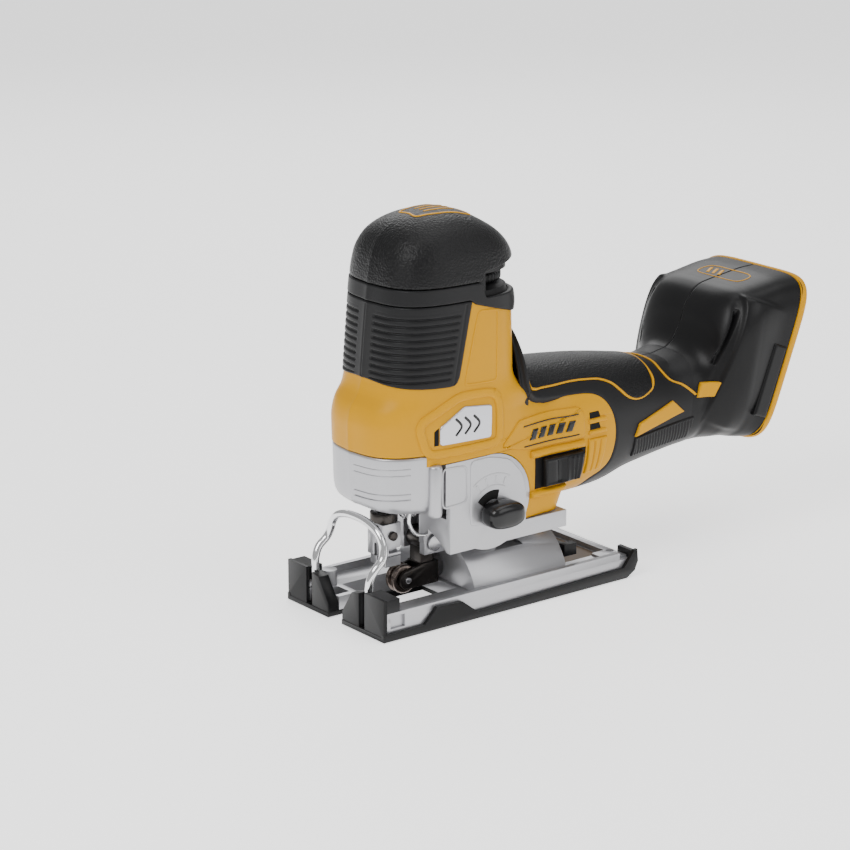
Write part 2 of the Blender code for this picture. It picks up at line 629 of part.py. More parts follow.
for k, (z, y) in enumerate(((31.5, -6.3), (31.5, 6.3))):
    sign = -1 if y < 0 else 1
    low, high = sorted((sign * 6.3, sign * 7.6))
    finish(rod("s", "Y", (PLUNGER_X + 0.5, z + 5.5), 2.2, low, high, 12), f"clamp_screw_{k + 1}", "dark_steel")
finish(rod("c", "Z", (PLUNGER_X, 0), 6.6, 43.3, 47.8, 20, bore=PLUNGER_R), "clamp_collar", "dark_steel")
coil = []
for k in range(33):
    t = 2 * math.pi * k / 8
    coil.append((-35.4 + 0.21 * k, -3.0 + 4.4 * math.cos(t), 48.0 + 4.4 * math.sin(t)))
finish(wire("coil", coil, 0.6, 5), "release_spring", "chrome")

hook = smooth_path(((-27.4, -12.0, 36.4), (-30.0, -12.2, 36.6), (-34.5, -12.6, 38.4),
                    (-37.6, -12.6, 43.5), (-37.4, -12.4, 48.0), (-36.6, -12.2, 52.4)), 3)
finish(wire("hook", hook, 0.9, 8), "guard_hook", "chrome")

# Blade release lever: a curved shell round the nose on an upright pin
lever_out = loft("lever", [oval(TOWER_CX, -57.6, 10, 28.5, LEVER_Z0), oval(TOWER_CX, -59.2, 10, 29.6, 59.0),
                           oval(TOWER_CX, -59.9, 10, 30.2, LEVER_Z1)])
cut(lever_out, loft("c", [oval(TOWER_CX, -56.4, 10, 26.9, 50), oval(TOWER_CX, -56.6, 10, 27.2, 90)]))
cut(lever_out, box("c", LEVER_X + 0.2, 60, -60, 60, 30, 100), box("c", -47.0, 60, 10, 60, 30, 100))
add(lever_out, rod("k", "Z", (LEVER_X, LEVER_Y), 4.8, 54.8, 59.6, 16), rod("k", "Z", (LEVER_X, LEVER_Y), 4.8, 72.4, 75.0, 16))
cut(lever_out, rod("c", "Z", (LEVER_X, LEVER_Y), 1.5 + RUN, 40, 100, 16))
finish(lever_out, "release_lever", "silver", (LEVER_X, LEVER_Y, 67))
finish(rod("p", "Z", (LEVER_X, LEVER_Y), 1.5, 54.9, 74.9, 16), "lever_pin", "steel")

# Orbital action knob
knob = add(rod("k", "Y", (KNOB_X, KNOB_Z), 6.6, -34.0, -CASE_HALF - GAP, 24),
           loft("h", [[(x, y, z) for x, z in outline] for y, outline in (
               (-32.9, ((-9.5, 43.0), (-6.5, 39.2), (2, 38.2), (13, 39.6), (16.4, 44), (15.2, 49), (11, 51.6), (-2, 52.8),
                        (-8.2, 50.6))),
               (-40.4, ((-9.0, 43.2), (-6.2, 39.8), (2, 38.9), (12.6, 40.2), (15.8, 44.2), (14.6, 48.6), (10.8, 51.0), (-2, 52.2),
                        (-7.8, 50.2))),
               (-42.4, ((-6.8, 43.8), (-4.8, 41.2), (2, 40.6), (11.6, 41.8), (13.8, 44.6), (12.8, 47.6), (10, 49.2), (-1.6, 50.2),
                        (-6.0, 48.8))))]))
cut(knob, rod("c", "Y", (KNOB_X, KNOB_Z), 2.4, -36, -20, 16))
finish(knob, "orbital_knob", "black", (KNOB_X, -36, KNOB_Z))
cam = add(rod("s", "Y", (KNOB_X, KNOB_Z), 3.5, -29.9, -4.0, 20), rod("s", "Y", (KNOB_X, KNOB_Z), 2.4, -35.8, -29.8, 16))
cut(cam, box("c", KNOB_X - 8, KNOB_X - 1.6, -9.5, 0, KNOB_Z - 8, KNOB_Z + 8))
finish(cam, "knob_shaft", "steel", (KNOB_X, -20, KNOB_Z))

# Guide roller on its pendulum fork
fork = add(rod("f", "Y", (FORK_X, FORK_Z), 5.0, -5.4, 5.4, 20), box("w", FORK_X - 3.6, FORK_X + 3.6, -4.2, 4.2, 14.0, 28.0),
           box("w", FORK_X - 4.0, FORK_X + 6.0, -5.3, 5.3, 8.6, 19.4))
for sign in (-1, 1):
    low, high = sorted((sign * 3.7, sign * 5.38))
    cheek = [(ROLLER_X + 4.4 * math.cos(math.radians(a)), ROLLER_Z + 4.4 * math.sin(math.radians(a))) for a in range(90, 271, 30)]
    add(fork, prism("cheek", cheek + [(FORK_X, 8.7), (FORK_X + 3, 19.3), (FORK_X - 3, 19.0)], low, high))
cut(fork, rod("c", "Y", (FORK_X, FORK_Z), 2.5 + RUN, -20, 20, 20), rod("c", "Y", (ROLLER_X, ROLLER_Z), 1.5, -20, 20, 16),
    rod("c", "Y", (ROLLER_X, ROLLER_Z), ROLLER_R + 0.8, -3.7, 3.7, 24))
finish(fork, "roller_fork", "dark_steel", (FORK_X, 0, FORK_Z))
finish(turned("p", "Y", (FORK_X, FORK_Z), ((4.0, -11.2), (4.0, -10.0), (2.5, -9.99), (2.5, 9.7)), 20), "fork_pin", "steel")
roller = turned("r", "Y", (ROLLER_X, ROLLER_Z), ((ROLLER_R - 0.5, -3.4), (ROLLER_R, -2.9), (ROLLER_R, -1.2),
                                                 (ROLLER_R - 1.8, -0.7), (ROLLER_R - 1.8, 0.7), (ROLLER_R, 1.2),
                                                 (ROLLER_R, 2.9), (ROLLER_R - 0.5, 3.4)), 28)
cut(roller, rod("c", "Y", (ROLLER_X, ROLLER_Z), 1.5 + RUN, -10, 10, 16))
finish(roller, "guide_roller", "dark_steel", (ROLLER_X, 0, ROLLER_Z))
finish(rod("p", "Y", (ROLLER_X, ROLLER_Z), 1.5, -6.4, 6.4, 16), "roller_pin", "steel", (FORK_X, 0, FORK_Z))

# Shoe: die-cast plate in a plastic overshoe
V_HALF = 9.5
WIRE_X = -67.6
WIRE_Y = 20.6
WIRE_R = 1.9
plate = box("plate", SHOE_X0 + 2.4, SHOE_X1 - 3.6, -SHOE_HALF + 2.1, SHOE_HALF - 2.1, COVER_T + GAP, DECK_TOP)
add(plate, box("side", SHOE_X0 + 2.5, 72.0, -SHOE_HALF + 2.12, -33.2, COVER_T + 0.4, 12.6),
    box("side", SHOE_X0 + 2.5, 72.0, 33.2, SHOE_HALF - 2.12, COVER_T + 0.4, 12.6))
add(plate, box("end", 66, SHOE_X1 - 3.7, -33.5, 33.5, 3.0, 10.2))
opening = loft("v", [[(x, y, z) for x, y in ((-54.0, -h), (-14.2, -h), (-14.2, h), (-54.0, h))]
                     for z, h in ((-1.0, V_HALF - 1), (13.5, V_HALF + 13.5))])
cut(plate, opening, box("gap", -100, -50, -5.2, 5.2, -5, 20))
cut(plate, box("pocket", -66.0, -57.0, 8.2, 17.0, 4.0, 20), box("pocket", -66.0, -57.0, -17.0, -8.2, 4.0, 20),
    box("front", -100, -65.2, -18.2, 18.2, -5, 30), box("front", -100, -63.6, -23.2, -18.0, -5, 30), box("front", -100, -63.6, 18.0, 23.2, -5, 30),
    box("window", -66.2, -58.0, -60, -34.4, 5.0, 11.0), box("window", -66.2, -58.0, 34.4, 60, 5.0, 11.0),
    box("panel", 47.0, 74.0, -22, 22, 7.4, 20), rod("hole", "Z", (76.0, -24.0), 2.0, -5, 20, 16))
cut(plate, prism("slope", ((SHOE_X1 - 5.6, 1.5), (SHOE_X1 - 2, 1.5), (SHOE_X1 - 2, 4.9)), -60, 60))
add(plate, rod("boss", "Z", (-58.5, 22.0), 3.6, 8.0, 16.5, 16))
finish(plate, "shoe_plate", "silver")

side_line = ((SHOE_X0, 0), (SHOE_X1 - 7, 0), (SHOE_X1 - 2.0, 3.0), (SHOE_X1, 7.5), (SHOE_X1 - 0.6, 13.6), (SHOE_X1 - 2.6, 13.2),
             (SHOE_X1 - 9.0, 5.4), (-17, 3.4), (-26, 10.2), (-41, 10.8), (-48, 3.6), (-63.0, 3.4), (SHOE_X0, 3.4))
overshoe = box("cover", SHOE_X0, SHOE_X1 - 7.5, -SHOE_HALF + 0.5, SHOE_HALF - 0.5, 0.0, COVER_T)
for sign in (-1, 1):
    low, high = sorted((sign * (SHOE_HALF - 1.8), sign * SHOE_HALF))
    add(overshoe, prism("side", side_line, low, high))
    low, high = sorted((sign * 26.0, sign * (SHOE_HALF - 0.7)))
    add(overshoe, prism("tip", ((SHOE_X1 - 9.0, 0.3), (SHOE_X1 - 7.2, 0.3), (SHOE_X1 - 2.3, 3.3), (SHOE_X1 - 0.4, 7.6),
                                (SHOE_X1 - 1.0, 13.0), (SHOE_X1 - 2.9, 12.6), (SHOE_X1 - 3.2, 3.6), (SHOE_X1 - 4.8, 2.2),
                                (SHOE_X1 - 9.0, 1.9)), low, high))
    low, high = sorted((sign * 22.8, sign * (SHOE_HALF - 0.3)))
    add(overshoe, box("block", SHOE_X0 + 0.2, SHOE_X0 + 2.1, low, high, 0.5, 20.0))
    low, high = sorted((sign * 23.0, sign * (SHOE_HALF - 0.6)))
    add(overshoe, box("top", SHOE_X0 + 0.6, -62.0, low, high, 13.2, 19.6))
    ramp = loft("ramp", [[(x, sign * y, z) for y, z in ((5.4, 0.4), (18.4, 0.4), (18.4, 18.6), (13.0, 17.6), (5.4, 6.4))]
                         for x in (SHOE_X0 + 0.3, -65.6)])
    add(overshoe, ramp)
cut(overshoe, loft("v", [[(x, y, z) for x, y in ((-55.0, -h), (-13.6, -h), (-13.6, h), (-55.0, h))]
                         for z, h in ((-1.0, V_HALF - 1.6), (4, V_HALF + 3.4))]), box("gap", -100, -50, -5.3, 5.3, -5, 20))
finish(overshoe, "shoe_cover", "black")

saddle = rod("saddle", "X", (0, 0), SADDLE_R, SADDLE_X0, SADDLE_X1, 48)
cut(saddle, rod("c", "X", (0, 0), SADDLE_R - 4.0, SADDLE_X0 + 4.0, 100, 48), box("c", -100, 100, -60, 60, -60, DECK_TOP + GAP))
cut(saddle, rod("c", "X", (0, 15.5), 6.0, -100, 0, 20))
cut(saddle, loft("wedge", [[(x, y, z) for x, z in ((5.6, 23.8), (23.3, 23.8), (20.5, 27.6), (9.0, 25.2))] for y in (-30, -10)]))
finish(saddle, "bevel_saddle", "silver")

WIRE_POINTS = ((WIRE_X, 0.99, 3.2), (WIRE_X, 1.0, 17.0), (WIRE_X + 0.6, 1.03, 24.5), (WIRE_X + 3.0, 1.06, 29.0),
               (WIRE_X + 7.6, 1.04, 33.2), (WIRE_X + 9.0, 0.99, 37.0), (WIRE_X + 9.2, 0.92, 41.2), (WIRE_X + 9.2, 0.66, 45.0),
               (WIRE_X + 9.2, 0.3, 47.3))
arch = [(x, -WIRE_Y * s, z) for x, s, z in WIRE_POINTS]
arch = arch + [(WIRE_X + 9.2, 0.0, 47.8)] + [(x, -y, z) for x, y, z in reversed(arch)]
finish(wire("guard", arch, WIRE_R, 8), "finger_guard", "chrome")

bolt = rod("bolt", "X", (0, 17.0), 3.0, SADDLE_X1 - 30, SADDLE_X1 + 1.2, 16)
finish(bolt, "bevel_bolt", "steel")
bevel = add(rod("b", "X", (0, 17.0), 6.0, SADDLE_X1 + 1.5, SADDLE_X1 + 5.5, 20),
            box("arm", SADDLE_X1 + 1.6, SADDLE_X1 + 5.4, -24.0, 0, 14.8, 19.2),
            box("tab", SADDLE_X1 + 1.55, SADDLE_X1 + 9.0, -27.0, -23.0, 14.2, 20.0))
finish(bevel, "bevel_lever", "black", (SADDLE_X1 + 3.5, 0, 17.0))

# Motor in the barrel handle
rotor = add(rod("r", "X", (0, HANDLE_Z), ROTOR_R, STATOR_X0 + 1, STATOR_X1 - 1, 28),
            rod("s", "X", (0, HANDLE_Z), ROTOR_SHAFT_R, PINION_X0 - 0.0, 109.0, 20))
finish(rotor, "rotor", "steel", (80, 0, HANDLE_Z))
stator = rod("stator", "X", (0, HANDLE_Z), STATOR_R, STATOR_X0, STATOR_X1, 32, bore=STATOR_IN_R)
for k in range(6):
    t = 2 * math.pi * (k + 0.5) / 6
    cut(stator, rod("slot", "X", (14.5 * math.cos(t), HANDLE_Z + 14.5 * math.sin(t)), 1.8, STATOR_X0 - 5, STATOR_X1 + 5, 8))
finish(stator, "stator", "copper")
fan = rod("fan", "X", (0, HANDLE_Z), 6.0, 52.0, 59.5, 20)
add(fan, rod("disc", "X", (0, HANDLE_Z), FAN_R, 58.0, 59.4, 32))
for k in range(9):
    t = 2 * math.pi * k / 9
    blade = loft("b", [[(x, r * math.cos(t + bend) - w * math.sin(t), HANDLE_Z + r * math.sin(t + bend) + w * math.cos(t))
                        for r, bend, w in ((4.5, 0, -0.6), (FAN_R - 0.4, 0.25, -0.5), (FAN_R - 0.4, 0.25, 0.5), (4.5, 0, 0.6))]
                       for x in (52.1, 58.3)])
    add(fan, blade)
cut(fan, rod("c", "X", (0, HANDLE_Z), ROTOR_SHAFT_R, 40, 70, 20))
finish(fan, "fan", "black", (55, 0, HANDLE_Z))
finish(rod("b", "X", (0, HANDLE_Z), 8.0, 7.6, 13.4, 24, bore=ROTOR_SHAFT_R + RUN), "bearing_front", "steel")
finish(rod("b", "X", (0, HANDLE_Z), 7.5, 103.5, 108.5, 24, bore=ROTOR_SHAFT_R + RUN), "bearing_rear", "steel")

# Slide switch: one slider on each flank, joined by a bar through the switch body
for side, sign in (LEFT, RIGHT):
    wall = TOWER_HALF
    low, high = sorted((sign * (wall + 0.35), sign * (wall + 3.4)))
    slider = add(box("s", SLIDER_X0, SLIDER_X1 - 3, low, high, SLIDER_Z0, SLIDER_Z1),
                 box("stem", SLIDER_X0 + 5, SLIDER_X1 - 8.5, *sorted((sign * 26.4, sign * (wall + 0.5))), SLIDER_Z0 + 4, SLIDER_Z1 - 4))
    for k in range(5):
        x = SLIDER_X0 + 8.0 + 2.6 * k
        cut(slider, box("g", x, x + 1.1, *sorted((sign * (wall + 2.6), sign * (wall + 5))), SLIDER_Z0 + 1, SLIDER_Z1 - 1))
    finish(slider, "slider_" + side, "black")
bar = box("bar", SLIDER_X0 + 8, SLIDER_X0 + 12, -26.1, 26.1, 56.5, 61.5)
finish(bar, "slider_bar", "black")
body = box("sw", 26, 50, -11, 11, 47.4, 66.0)
cut(body, box("c", SLIDER_X0 + 1.0, SLIDER_X0 + 13.2, -30, 30, 55.8, 80))
finish(body, "switch_body", "black")

# Badges let into the flanks, and the work light under the nose
BADGE = ((-33.3, 84.8), (-33.3, 92.0), (-22.4, 99.6), (-6.6, 99.6), (-4.4, 97.6), (-4.0, 86.8), (-6.0, 85.0))
for side, sign in (LEFT, RIGHT):
    low, high = sorted((sign * 30.75, sign * 31.9))
    finish(prism("badge", BADGE, low, high), "badge_" + side, "silver")
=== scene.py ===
"""Cordless barrel-grip jigsaw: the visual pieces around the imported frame.

Sizes are in millimetres until a mesh is made. The front (blade end) is -X, the tool's left side is -Y, and the sole of
the shoe lies on z = 0.
"""

import json

import bmesh
import bpy
import numpy as np
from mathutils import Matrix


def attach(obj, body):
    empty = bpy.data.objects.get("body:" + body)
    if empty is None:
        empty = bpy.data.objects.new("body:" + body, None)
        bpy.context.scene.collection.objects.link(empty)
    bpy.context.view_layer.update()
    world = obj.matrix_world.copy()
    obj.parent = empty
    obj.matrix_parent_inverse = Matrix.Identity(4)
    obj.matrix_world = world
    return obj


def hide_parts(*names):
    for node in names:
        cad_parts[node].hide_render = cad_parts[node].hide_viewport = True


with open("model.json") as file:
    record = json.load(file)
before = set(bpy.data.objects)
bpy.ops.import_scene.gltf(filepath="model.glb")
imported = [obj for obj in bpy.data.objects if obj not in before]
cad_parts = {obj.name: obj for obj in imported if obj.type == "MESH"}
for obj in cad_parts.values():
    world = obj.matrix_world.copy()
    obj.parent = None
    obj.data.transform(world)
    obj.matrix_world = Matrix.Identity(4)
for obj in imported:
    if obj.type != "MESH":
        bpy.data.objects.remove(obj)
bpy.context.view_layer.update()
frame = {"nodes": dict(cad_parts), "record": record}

MM = 0.001
MERGED = 2e-6
BOTH = ("left", -1), ("right", 1)
SHELL_WALL = 1.4
HEAD_TOP = 188.0

# ---------------------------------------------------------------- camera and light
AZIMUTH, ELEVATION = np.radians(-37.6), np.radians(16.4)
AIM = np.array([-0.0188, 0.0, 0.085])
REACH = 1.35
LENS = 122.8235294



def direction(azimuth, elevation):
    """The unit vector at an azimuth, counted from -Y towards +X, and an elevation, both in radians."""
    level = np.cos(elevation)
    return np.array([np.sin(azimuth) * level, -np.cos(azimuth) * level, np.sin(elevation)])


camera_data = bpy.data.cameras.new("camera")
camera_data.lens = LENS
camera_data.clip_start = 0.01
camera = bpy.data.objects.new("camera", camera_data)
bpy.context.scene.collection.objects.link(camera)
camera.location = AIM + direction(AZIMUTH, ELEVATION) * REACH
camera.rotation_euler = (np.pi / 2 - ELEVATION, 0, AZIMUTH)
bpy.context.scene.camera = camera

LIT_PLACE = np.array([0.05, 0, 0.09])


def soft_light(name, azimuth, elevation, distance, size, watts):
    """A square area light that looks at the tool from a direction round it."""
    a, e = np.radians(azimuth), np.radians(elevation)
    data = bpy.data.lights.new(name, "AREA")
    data.size = size
    data.energy = watts
    lamp = bpy.data.objects.new(name, data)
    bpy.context.scene.collection.objects.link(lamp)
    lamp.location = LIT_PLACE + distance * direction(a, e)
    lamp.rotation_euler = (np.pi / 2 - e, 0, a)


soft_light("key_light", -75, 42, 1.1, 0.55, 6.5)
soft_light("side_light", 20, 30, 1.3, 0.8, 4.5)
soft_light("top_light", 60, 78, 1.1, 0.9, 5)
soft_light("rear_light", 150, 35, 1.3, 0.8, 5)

world = bpy.data.worlds.new("studio")
bpy.context.scene.world = world
world.use_nodes = True
sky = world.node_tree.nodes["Background"]
sky.inputs["Color"].default_value = (1, 1, 1, 1)
sky.inputs["Strength"].default_value = 0.5


# ---------------------------------------------------------------- materials
def finish_of(name, colour, rough, metal=0.0, grain=(), coat=0.0, mottle=0.04, gleam=0.2):
    """A procedural finish: a slightly mottled colour and roughness, and bump layers over it.

    Each layer of grain is (kind, size in mm, depth in mm).
    """
    material = bpy.data.materials.new(name)
    material.use_nodes = True
    tree = material.node_tree
    shader = tree.nodes["Principled BSDF"]
    shader.inputs["Metallic"].default_value = metal
    shader.inputs["Coat Weight"].default_value = coat
    shader.inputs["Coat Roughness"].default_value = 0.15
    shader.inputs["Specular IOR Level"].default_value = gleam
    place = tree.nodes.new("ShaderNodeTexCoord")

    cloud = tree.nodes.new("ShaderNodeTexNoise")
    cloud.inputs["Scale"].default_value = 60
    cloud.inputs["Detail"].default_value = 6
    tree.links.new(place.outputs["Object"], cloud.inputs["Vector"])
    tint = tree.nodes.new("ShaderNodeMix")
    tint.data_type = "RGBA"
    tint.inputs["A"].default_value = tuple(c * (1 - mottle) for c in colour) + (1,)
    tint.inputs["B"].default_value = tuple(min(1.0, c * (1 + mottle)) for c in colour) + (1,)
    tree.links.new(cloud.outputs["Fac"], tint.inputs["Factor"])
    tree.links.new(tint.outputs["Result"], shader.inputs["Base Color"])
    dull = tree.nodes.new("ShaderNodeMapRange")
    dull.inputs["To Min"].default_value = rough * 0.85
    dull.inputs["To Max"].default_value = min(1.0, rough * 1.15)
    tree.links.new(cloud.outputs["Fac"], dull.inputs["Value"])
    tree.links.new(dull.outputs["Result"], shader.inputs["Roughness"])

    last = None
    for kind, size, depth in grain:
        if kind == "cells":
            layer = tree.nodes.new("ShaderNodeTexVoronoi")
            layer.feature = "SMOOTH_F1"
            layer.inputs["Smoothness"].default_value = 0.6
            height = layer.outputs["Distance"]
        else:
            layer = tree.nodes.new("ShaderNodeTexNoise")
            layer.inputs["Detail"].default_value = 3
            height = layer.outputs["Fac"]
        layer.inputs["Scale"].default_value = 1000 / size
        tree.links.new(place.outputs["Object"], layer.inputs["Vector"])
        bump = tree.nodes.new("ShaderNodeBump")
        bump.inputs["Strength"].default_value = 1.0
        bump.inputs["Distance"].default_value = depth * MM
        tree.links.new(height, bump.inputs["Height"])
        if last:
            tree.links.new(last.outputs["Normal"], bump.inputs["Normal"])
        last = bump
    if last:
        tree.links.new(last.outputs["Normal"], shader.inputs["Normal"])
    return material


yellow_plastic = finish_of("yellow_plastic", (0.55, 0.262, 0.0), 0.36, grain=(("noise", 0.7, 0.012),),
                           gleam=0.12)
yellow_gloss = finish_of("yellow_line", (0.57, 0.272, 0.0), 0.3, grain=(("noise", 0.5, 0.006),), gleam=0.12)
black_plastic = finish_of("black_plastic", (0.006, 0.006, 0.0064), 0.34, grain=(("noise", 0.6, 0.02),))
smooth_rubber = finish_of("smooth_rubber", (0.009, 0.009, 0.0096), 0.42, grain=(("noise", 0.8, 0.02),))
leather_rubber = finish_of("grained_rubber", (0.005, 0.005, 0.0054), 0.38,
                           grain=(("cells", 0.95, 0.26), ("noise", 0.5, 0.08)), gleam=0.22)
gloss_black = finish_of("gloss_black", (0.008, 0.008, 0.0084), 0.2, grain=(("noise", 1.5, 0.008),), coat=0.3)
# Near-black matte finish laid in the slots, vents, switch well and dock floor: painted shade where those openings and
# hollows fall dark
painted_shade_black = finish_of("painted_shade_black", (0.003, 0.003, 0.003), 0.7, grain=(("noise", 1.0, 0.02),))
cast_silver = finish_of("cast_silver", (0.44, 0.44, 0.455), 0.34, metal=0.75,
                        grain=(("noise", 0.5, 0.03), ("noise", 4.0, 0.02)))
deck_silver = finish_of("deck_silver", (0.46, 0.46, 0.475), 0.32, metal=0.8, grain=(("noise", 0.45, 0.03),))
badge_silver = finish_of("badge_silver", (0.55, 0.55, 0.58), 0.25, metal=0.8, grain=(("noise", 0.6, 0.01),))
bright_chrome = finish_of("bright_chrome", (0.8, 0.8, 0.81), 0.12, metal=1.0, grain=(("noise", 2.0, 0.01),))
machined_steel = finish_of("machined_steel", (0.42, 0.42, 0.43), 0.28, metal=1.0,
                           grain=(("noise", 0.7, 0.015),))
oiled_steel = finish_of("oiled_steel", (0.05, 0.045, 0.042), 0.28, metal=0.85, grain=(("noise", 1.5, 0.03),))
roller_steel = finish_of("roller_steel", (0.16, 0.13, 0.115), 0.22, metal=1.0, grain=(("noise", 1.2, 0.02),))
copper_wire = finish_of("copper_wire", (0.62, 0.3, 0.16), 0.35, metal=1.0, grain=(("noise", 0.8, 0.03),))
sintered_bronze = finish_of("sintered_bronze", (0.5, 0.38, 0.2), 0.4, metal=1.0, grain=(("noise", 0.5, 0.03),))
label_brown = finish_of("label_brown", (0.13, 0.085, 0.045), 0.42, grain=(("noise", 0.9, 0.03),), mottle=0.5)

COPIED_FINISH = {
    "yellow": yellow_plastic, "rubber": smooth_rubber, "black": black_plastic, "silver": cast_silver,
    "steel": machined_steel, "chrome": bright_chrome, "dark_steel": oiled_steel, "copper": copper_wire,
    "brass": sintered_bronze}


# ---------------------------------------------------------------- mesh tools
def along(rows, t):
    """Smooth values between a table's rows: a cubic through each row with the mean slope of its two sides."""
    rows = np.asarray(rows, float)
    key, value = rows[:, 0], rows[:, 1:]
    slope = np.gradient(value, key, axis=0)
    t = np.clip(np.asarray(t, float), key[0], key[-1])
    k = np.clip(np.searchsorted(key, t) - 1, 0, len(key) - 2)
    span = key[k + 1] - key[k]
    f = ((t - key[k]) / span)[..., None]
    span = span[..., None]
    return ((2 * f**3 - 3 * f**2 + 1) * value[k] + (f**3 - 2 * f**2 + f) * span * slope[k]
            + (3 * f**2 - 2 * f**3) * value[k + 1] + (f**3 - f**2) * span * slope[k + 1])


def ease(t):
    """A smooth step from 0 to 1 as t runs from 0 to 1."""
    t = np.clip(t, 0, 1)
    return t * t * (3 - 2 * t)


def piece(name, points, faces, material, body, replaced=(), hollow=0.0, outward=True):
    """A finished mesh object on a body. Hollow is the wall given to an open sheet, inward, in mm."""
    mesh = bpy.data.meshes.new(name)
    if isinstance(faces, np.ndarray):
        faces = faces.tolist()
    mesh.from_pydata((np.asarray(points) * MM).tolist(), [], faces)
    work = bmesh.new()
    work.from_mesh(mesh)
    bmesh.ops.remove_doubles(work, verts=work.verts, dist=MERGED)
    bmesh.ops.dissolve_degenerate(work, edges=work.edges, dist=1e-7)
    if outward:
        bmesh.ops.recalc_face_normals(work, faces=work.faces)
    work.to_mesh(mesh)
    work.free()
    mesh.shade_smooth()
    obj = bpy.data.objects.new(name, mesh)
    bpy.context.scene.collection.objects.link(obj)
    mesh.materials.append(material)
    if hollow:
        wall = obj.modifiers.new("wall", "SOLIDIFY")
        wall.thickness = hollow * MM
        wall.offset = -1
        wall.use_even_offset = False
    if replaced:
        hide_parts(*replaced)
    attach(obj, body)
    return obj


def grid_faces(nu, nv, wrap_u=False, wrap_v=False):
    """Quads of an nu by nv grid of points, joined end to end where it wraps."""
    u = np.arange(nu if wrap_u else nu - 1)
    v = np.arange(nv if wrap_v else nv - 1)
    u, v = np.meshgrid(u, v, indexing="ij")
    un, vn = (u + 1) % nu, (v + 1) % nv
    return np.stack([u * nv + v, un * nv + v, un * nv + vn, u * nv + vn], -1).reshape(-1, 4)


def sheet_of(points, turn=False):
    """Points and faces of an open or closed grid of shape (nu, nv, 3), turned over if asked."""
    nu, nv = points.shape[:2]
    faces = grid_faces(nu, nv)
    return points.reshape(-1, 3), faces[:, ::-1] if turn else faces


def facing(points, centre):
    """True where the grid's faces point away from a centre on the whole, so the sheet needs no turning."""
    du = np.diff(points, axis=0)[:, :-1]
    dv = np.diff(points, axis=1)[:-1]
    return (np.cross(du, dv) * (points[:-1, :-1] - centre)).sum() > 0


def skin(name, points, centre, material, body, replaced=(), wall=1.2):
    """An open sheet with a wall, its outer face turned away from the centre."""
    flat, faces = sheet_of(points, not facing(points, np.asarray(centre, float)))
    return piece(name, flat, faces, material, body, replaced, wall, outward=False)


def rings(name, points, material, body, replaced=()):
    """A closed solid from rings (n rings, m points, 3), each joined round, with a fan to the middle at both ends."""
    n, m = points.shape[:2]
    k = np.arange(m)
    first = np.stack([k, (k + 1) % m, np.full(m, n * m)], -1)
    last = np.stack([(n - 1) * m + k, (n - 1) * m + (k + 1) % m, np.full(m, n * m + 1)], -1)
    faces = grid_faces(n, m, wrap_v=True).tolist() + first.tolist() + last.tolist()
    flat = np.concatenate([points.reshape(-1, 3), [points[0].mean(0), points[-1].mean(0)]])
    return piece(name, flat, faces, material, body, replaced)


def resample(path, count, closed=False):
    """Points spaced evenly along a smooth curve through the given points."""
    path = np.asarray(path, float)
    if closed:
        path = np.concatenate([path[-3:], path, path[:3]])
    step = np.concatenate([[0], np.cumsum(np.sqrt(np.linalg.norm(np.diff(path, axis=0), axis=1)))])
    start, end = (step[3], step[-3]) if closed else (0, step[-1])
    fine = along(np.column_stack([step, path]), np.linspace(start, end, 1200))
    run = np.concatenate([[0], np.cumsum(np.linalg.norm(np.diff(fine, axis=0), axis=1))])
    at = np.linspace(0, run[-1], count + 1 if closed else count)
    made = np.stack([np.interp(at, run, fine[:, k]) for k in range(path.shape[1])], -1)
    return made[:-1] if closed else made


def tube(name, path, radius, material, body, replaced, count, around):
    """A round section carried along a smooth path, each ring square to it and turned by the path's main plane."""
    line = resample(path, count)
    tangent = np.gradient(line, axis=0)
    tangent /= np.linalg.norm(tangent, axis=1, keepdims=True)
    spread = np.linalg.svd(line - line.mean(0))[2][2]
    side = np.cross(tangent, spread)
    side /= np.linalg.norm(side, axis=1, keepdims=True)
    other = np.cross(tangent, side)
    a = np.linspace(0, 2 * np.pi, around, endpoint=False)
    ring = side[:, None] * np.cos(a)[None, :, None] + other[:, None] * np.sin(a)[None, :, None]
    return rings(name, line[:, None] + radius * ring, material, body, replaced)


def refined(node, material, body, bevel, segments):
    """A CAD node's own shape with merged faces and small rounded edges, the bevel's width in mm."""
    source = frame["nodes"][node]
    mesh = source.data.copy()
    work = bmesh.new()
    work.from_mesh(mesh)
    bmesh.ops.remove_doubles(work, verts=work.verts, dist=MERGED)
    bmesh.ops.dissolve_limit(work, angle_limit=0.02, verts=work.verts, edges=work.edges)
    work.to_mesh(mesh)
    work.free()
    mesh.shade_smooth()
    obj = bpy.data.objects.new(node + "_rounded", mesh)
    bpy.context.scene.collection.objects.link(obj)
    mesh.materials.clear()
    mesh.materials.append(material)
    obj.matrix_world = source.matrix_world.copy()
    edge = obj.modifiers.new("edge", "BEVEL")
    edge.width = bevel * MM
    edge.segments = segments
    edge.limit_method = "ANGLE"
    edge.angle_limit = np.radians(35)
    edge.use_clamp_overlap = True
    edge.harden_normals = True
    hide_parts(node)
    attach(obj, body)
    return obj


